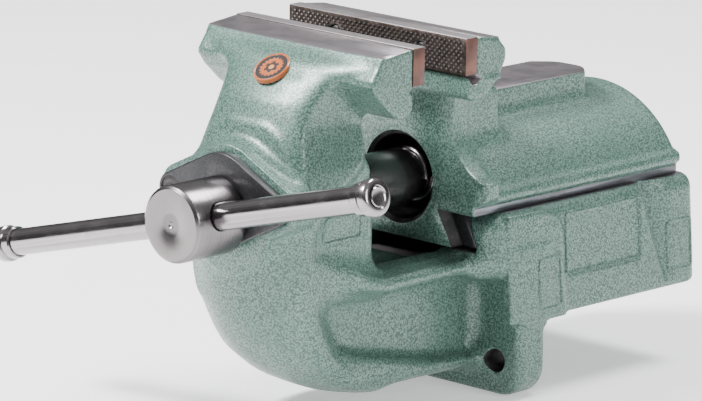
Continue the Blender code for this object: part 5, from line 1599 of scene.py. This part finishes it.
class VISE_OT_jaw_plates(bpy.types.Operator):
    """The two knurled jaw plates"""

    bl_idname = "vise.jaw_plates"
    bl_label = "Jaw plates"
    bl_options = {"REGISTER", "UNDO"}

    def execute(self, context):
        jaw_plate("front_knurled_plate", 0.0, 1, "body", "front_jaw_plate")
        jaw_plate("rear_knurled_plate", SLIDING_GRIP, -1, "slide", "rear_jaw_plate")
        return {"FINISHED"}


class VISE_OT_spindle(bpy.types.Operator):
    """Spindle with head, shank and wound thread"""

    bl_idname = "vise.spindle"
    bl_label = "Spindle"
    bl_options = {"REGISTER", "UNDO"}

    def execute(self, context):
        spindle_piece()
        return {"FINISHED"}


class VISE_OT_flange(bpy.types.Operator):
    """Black retaining flange"""

    bl_idname = "vise.flange"
    bl_label = "Retaining flange"
    bl_options = {"REGISTER", "UNDO"}

    def execute(self, context):
        flange_piece()
        return {"FINISHED"}


class VISE_OT_screws(bpy.types.Operator):
    """Every pair of screws"""

    bl_idname = "vise.screws"
    bl_label = "Screws"
    bl_options = {"REGISTER", "UNDO"}

    def execute(self, context):
        screw_pairs()
        return {"FINISHED"}


class VISE_OT_nut(bpy.types.Operator):
    """Flanged nut inside the slide"""

    bl_idname = "vise.nut"
    bl_label = "Nut"
    bl_options = {"REGISTER", "UNDO"}

    def execute(self, context):
        nut_piece()
        return {"FINISHED"}


class VISE_OT_handle(bpy.types.Operator):
    """Tommy bar and its two caps"""

    bl_idname = "vise.handle"
    bl_label = "Tommy bar"
    bl_options = {"REGISTER", "UNDO"}

    def execute(self, context):
        handle_pieces()
        return {"FINISHED"}


class VISE_OT_gib(bpy.types.Operator):
    """Adjusting strip and its screw"""

    bl_idname = "vise.gib"
    bl_label = "Gib"
    bl_options = {"REGISTER", "UNDO"}

    def execute(self, context):
        gib_pieces()
        return {"FINISHED"}


class VISE_OT_badge(bpy.types.Operator):
    """Round enamel badge"""

    bl_idname = "vise.badge"
    bl_label = "Badge"
    bl_options = {"REGISTER", "UNDO"}

    def execute(self, context):
        badge_piece()
        return {"FINISHED"}


class VISE_OT_stage(bpy.types.Operator):
    """Floor, lights, world and camera"""

    bl_idname = "vise.stage"
    bl_label = "Stage"
    bl_options = {"REGISTER", "UNDO"}

    def execute(self, context):
        floor_and_light()
        return {"FINISHED"}


class VISE_PT_pieces(bpy.types.Panel):
    """Lists the sizes, the colours and the pieces"""

    bl_idname = "VISE_PT_pieces"
    bl_label = "Bench Vise"
    bl_space_type = "VIEW_3D"
    bl_region_type = "UI"
    bl_category = "Bench Vise"

    def draw(self, context):
        layout = self.layout
        for group in (context.scene.vise_sizes, context.scene.vise_colours):
            column = layout.column()
            for name in group.__annotations__:
                column.prop(group, name)
        column = layout.column()
        for operator in OPERATORS:
            column.operator(operator.bl_idname)


OPERATORS = (
    VISE_OT_fixed_casting,
    VISE_OT_sliding_casting,
    VISE_OT_jaw_plates,
    VISE_OT_spindle,
    VISE_OT_flange,
    VISE_OT_screws,
    VISE_OT_nut,
    VISE_OT_handle,
    VISE_OT_gib,
    VISE_OT_badge,
    VISE_OT_stage,
)
CLASSES = (ViseSizes, ViseColours, *OPERATORS, VISE_PT_pieces)


def register():
    """Add the classes and the two groups of settings."""
    for kind in CLASSES:
        bpy.utils.register_class(kind)
    bpy.types.Scene.vise_sizes = PointerProperty(type=ViseSizes)
    bpy.types.Scene.vise_colours = PointerProperty(type=ViseColours)


def unregister():
    """Take them away again."""
    del bpy.types.Scene.vise_colours
    del bpy.types.Scene.vise_sizes
    for kind in reversed(CLASSES):
        bpy.utils.unregister_class(kind)


def main():
    """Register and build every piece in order."""
    register()
    for operator in OPERATORS:
        group, name = operator.bl_idname.split(".")
        getattr(getattr(bpy.ops, group), name)()


if __name__ == "__main__":
    main()
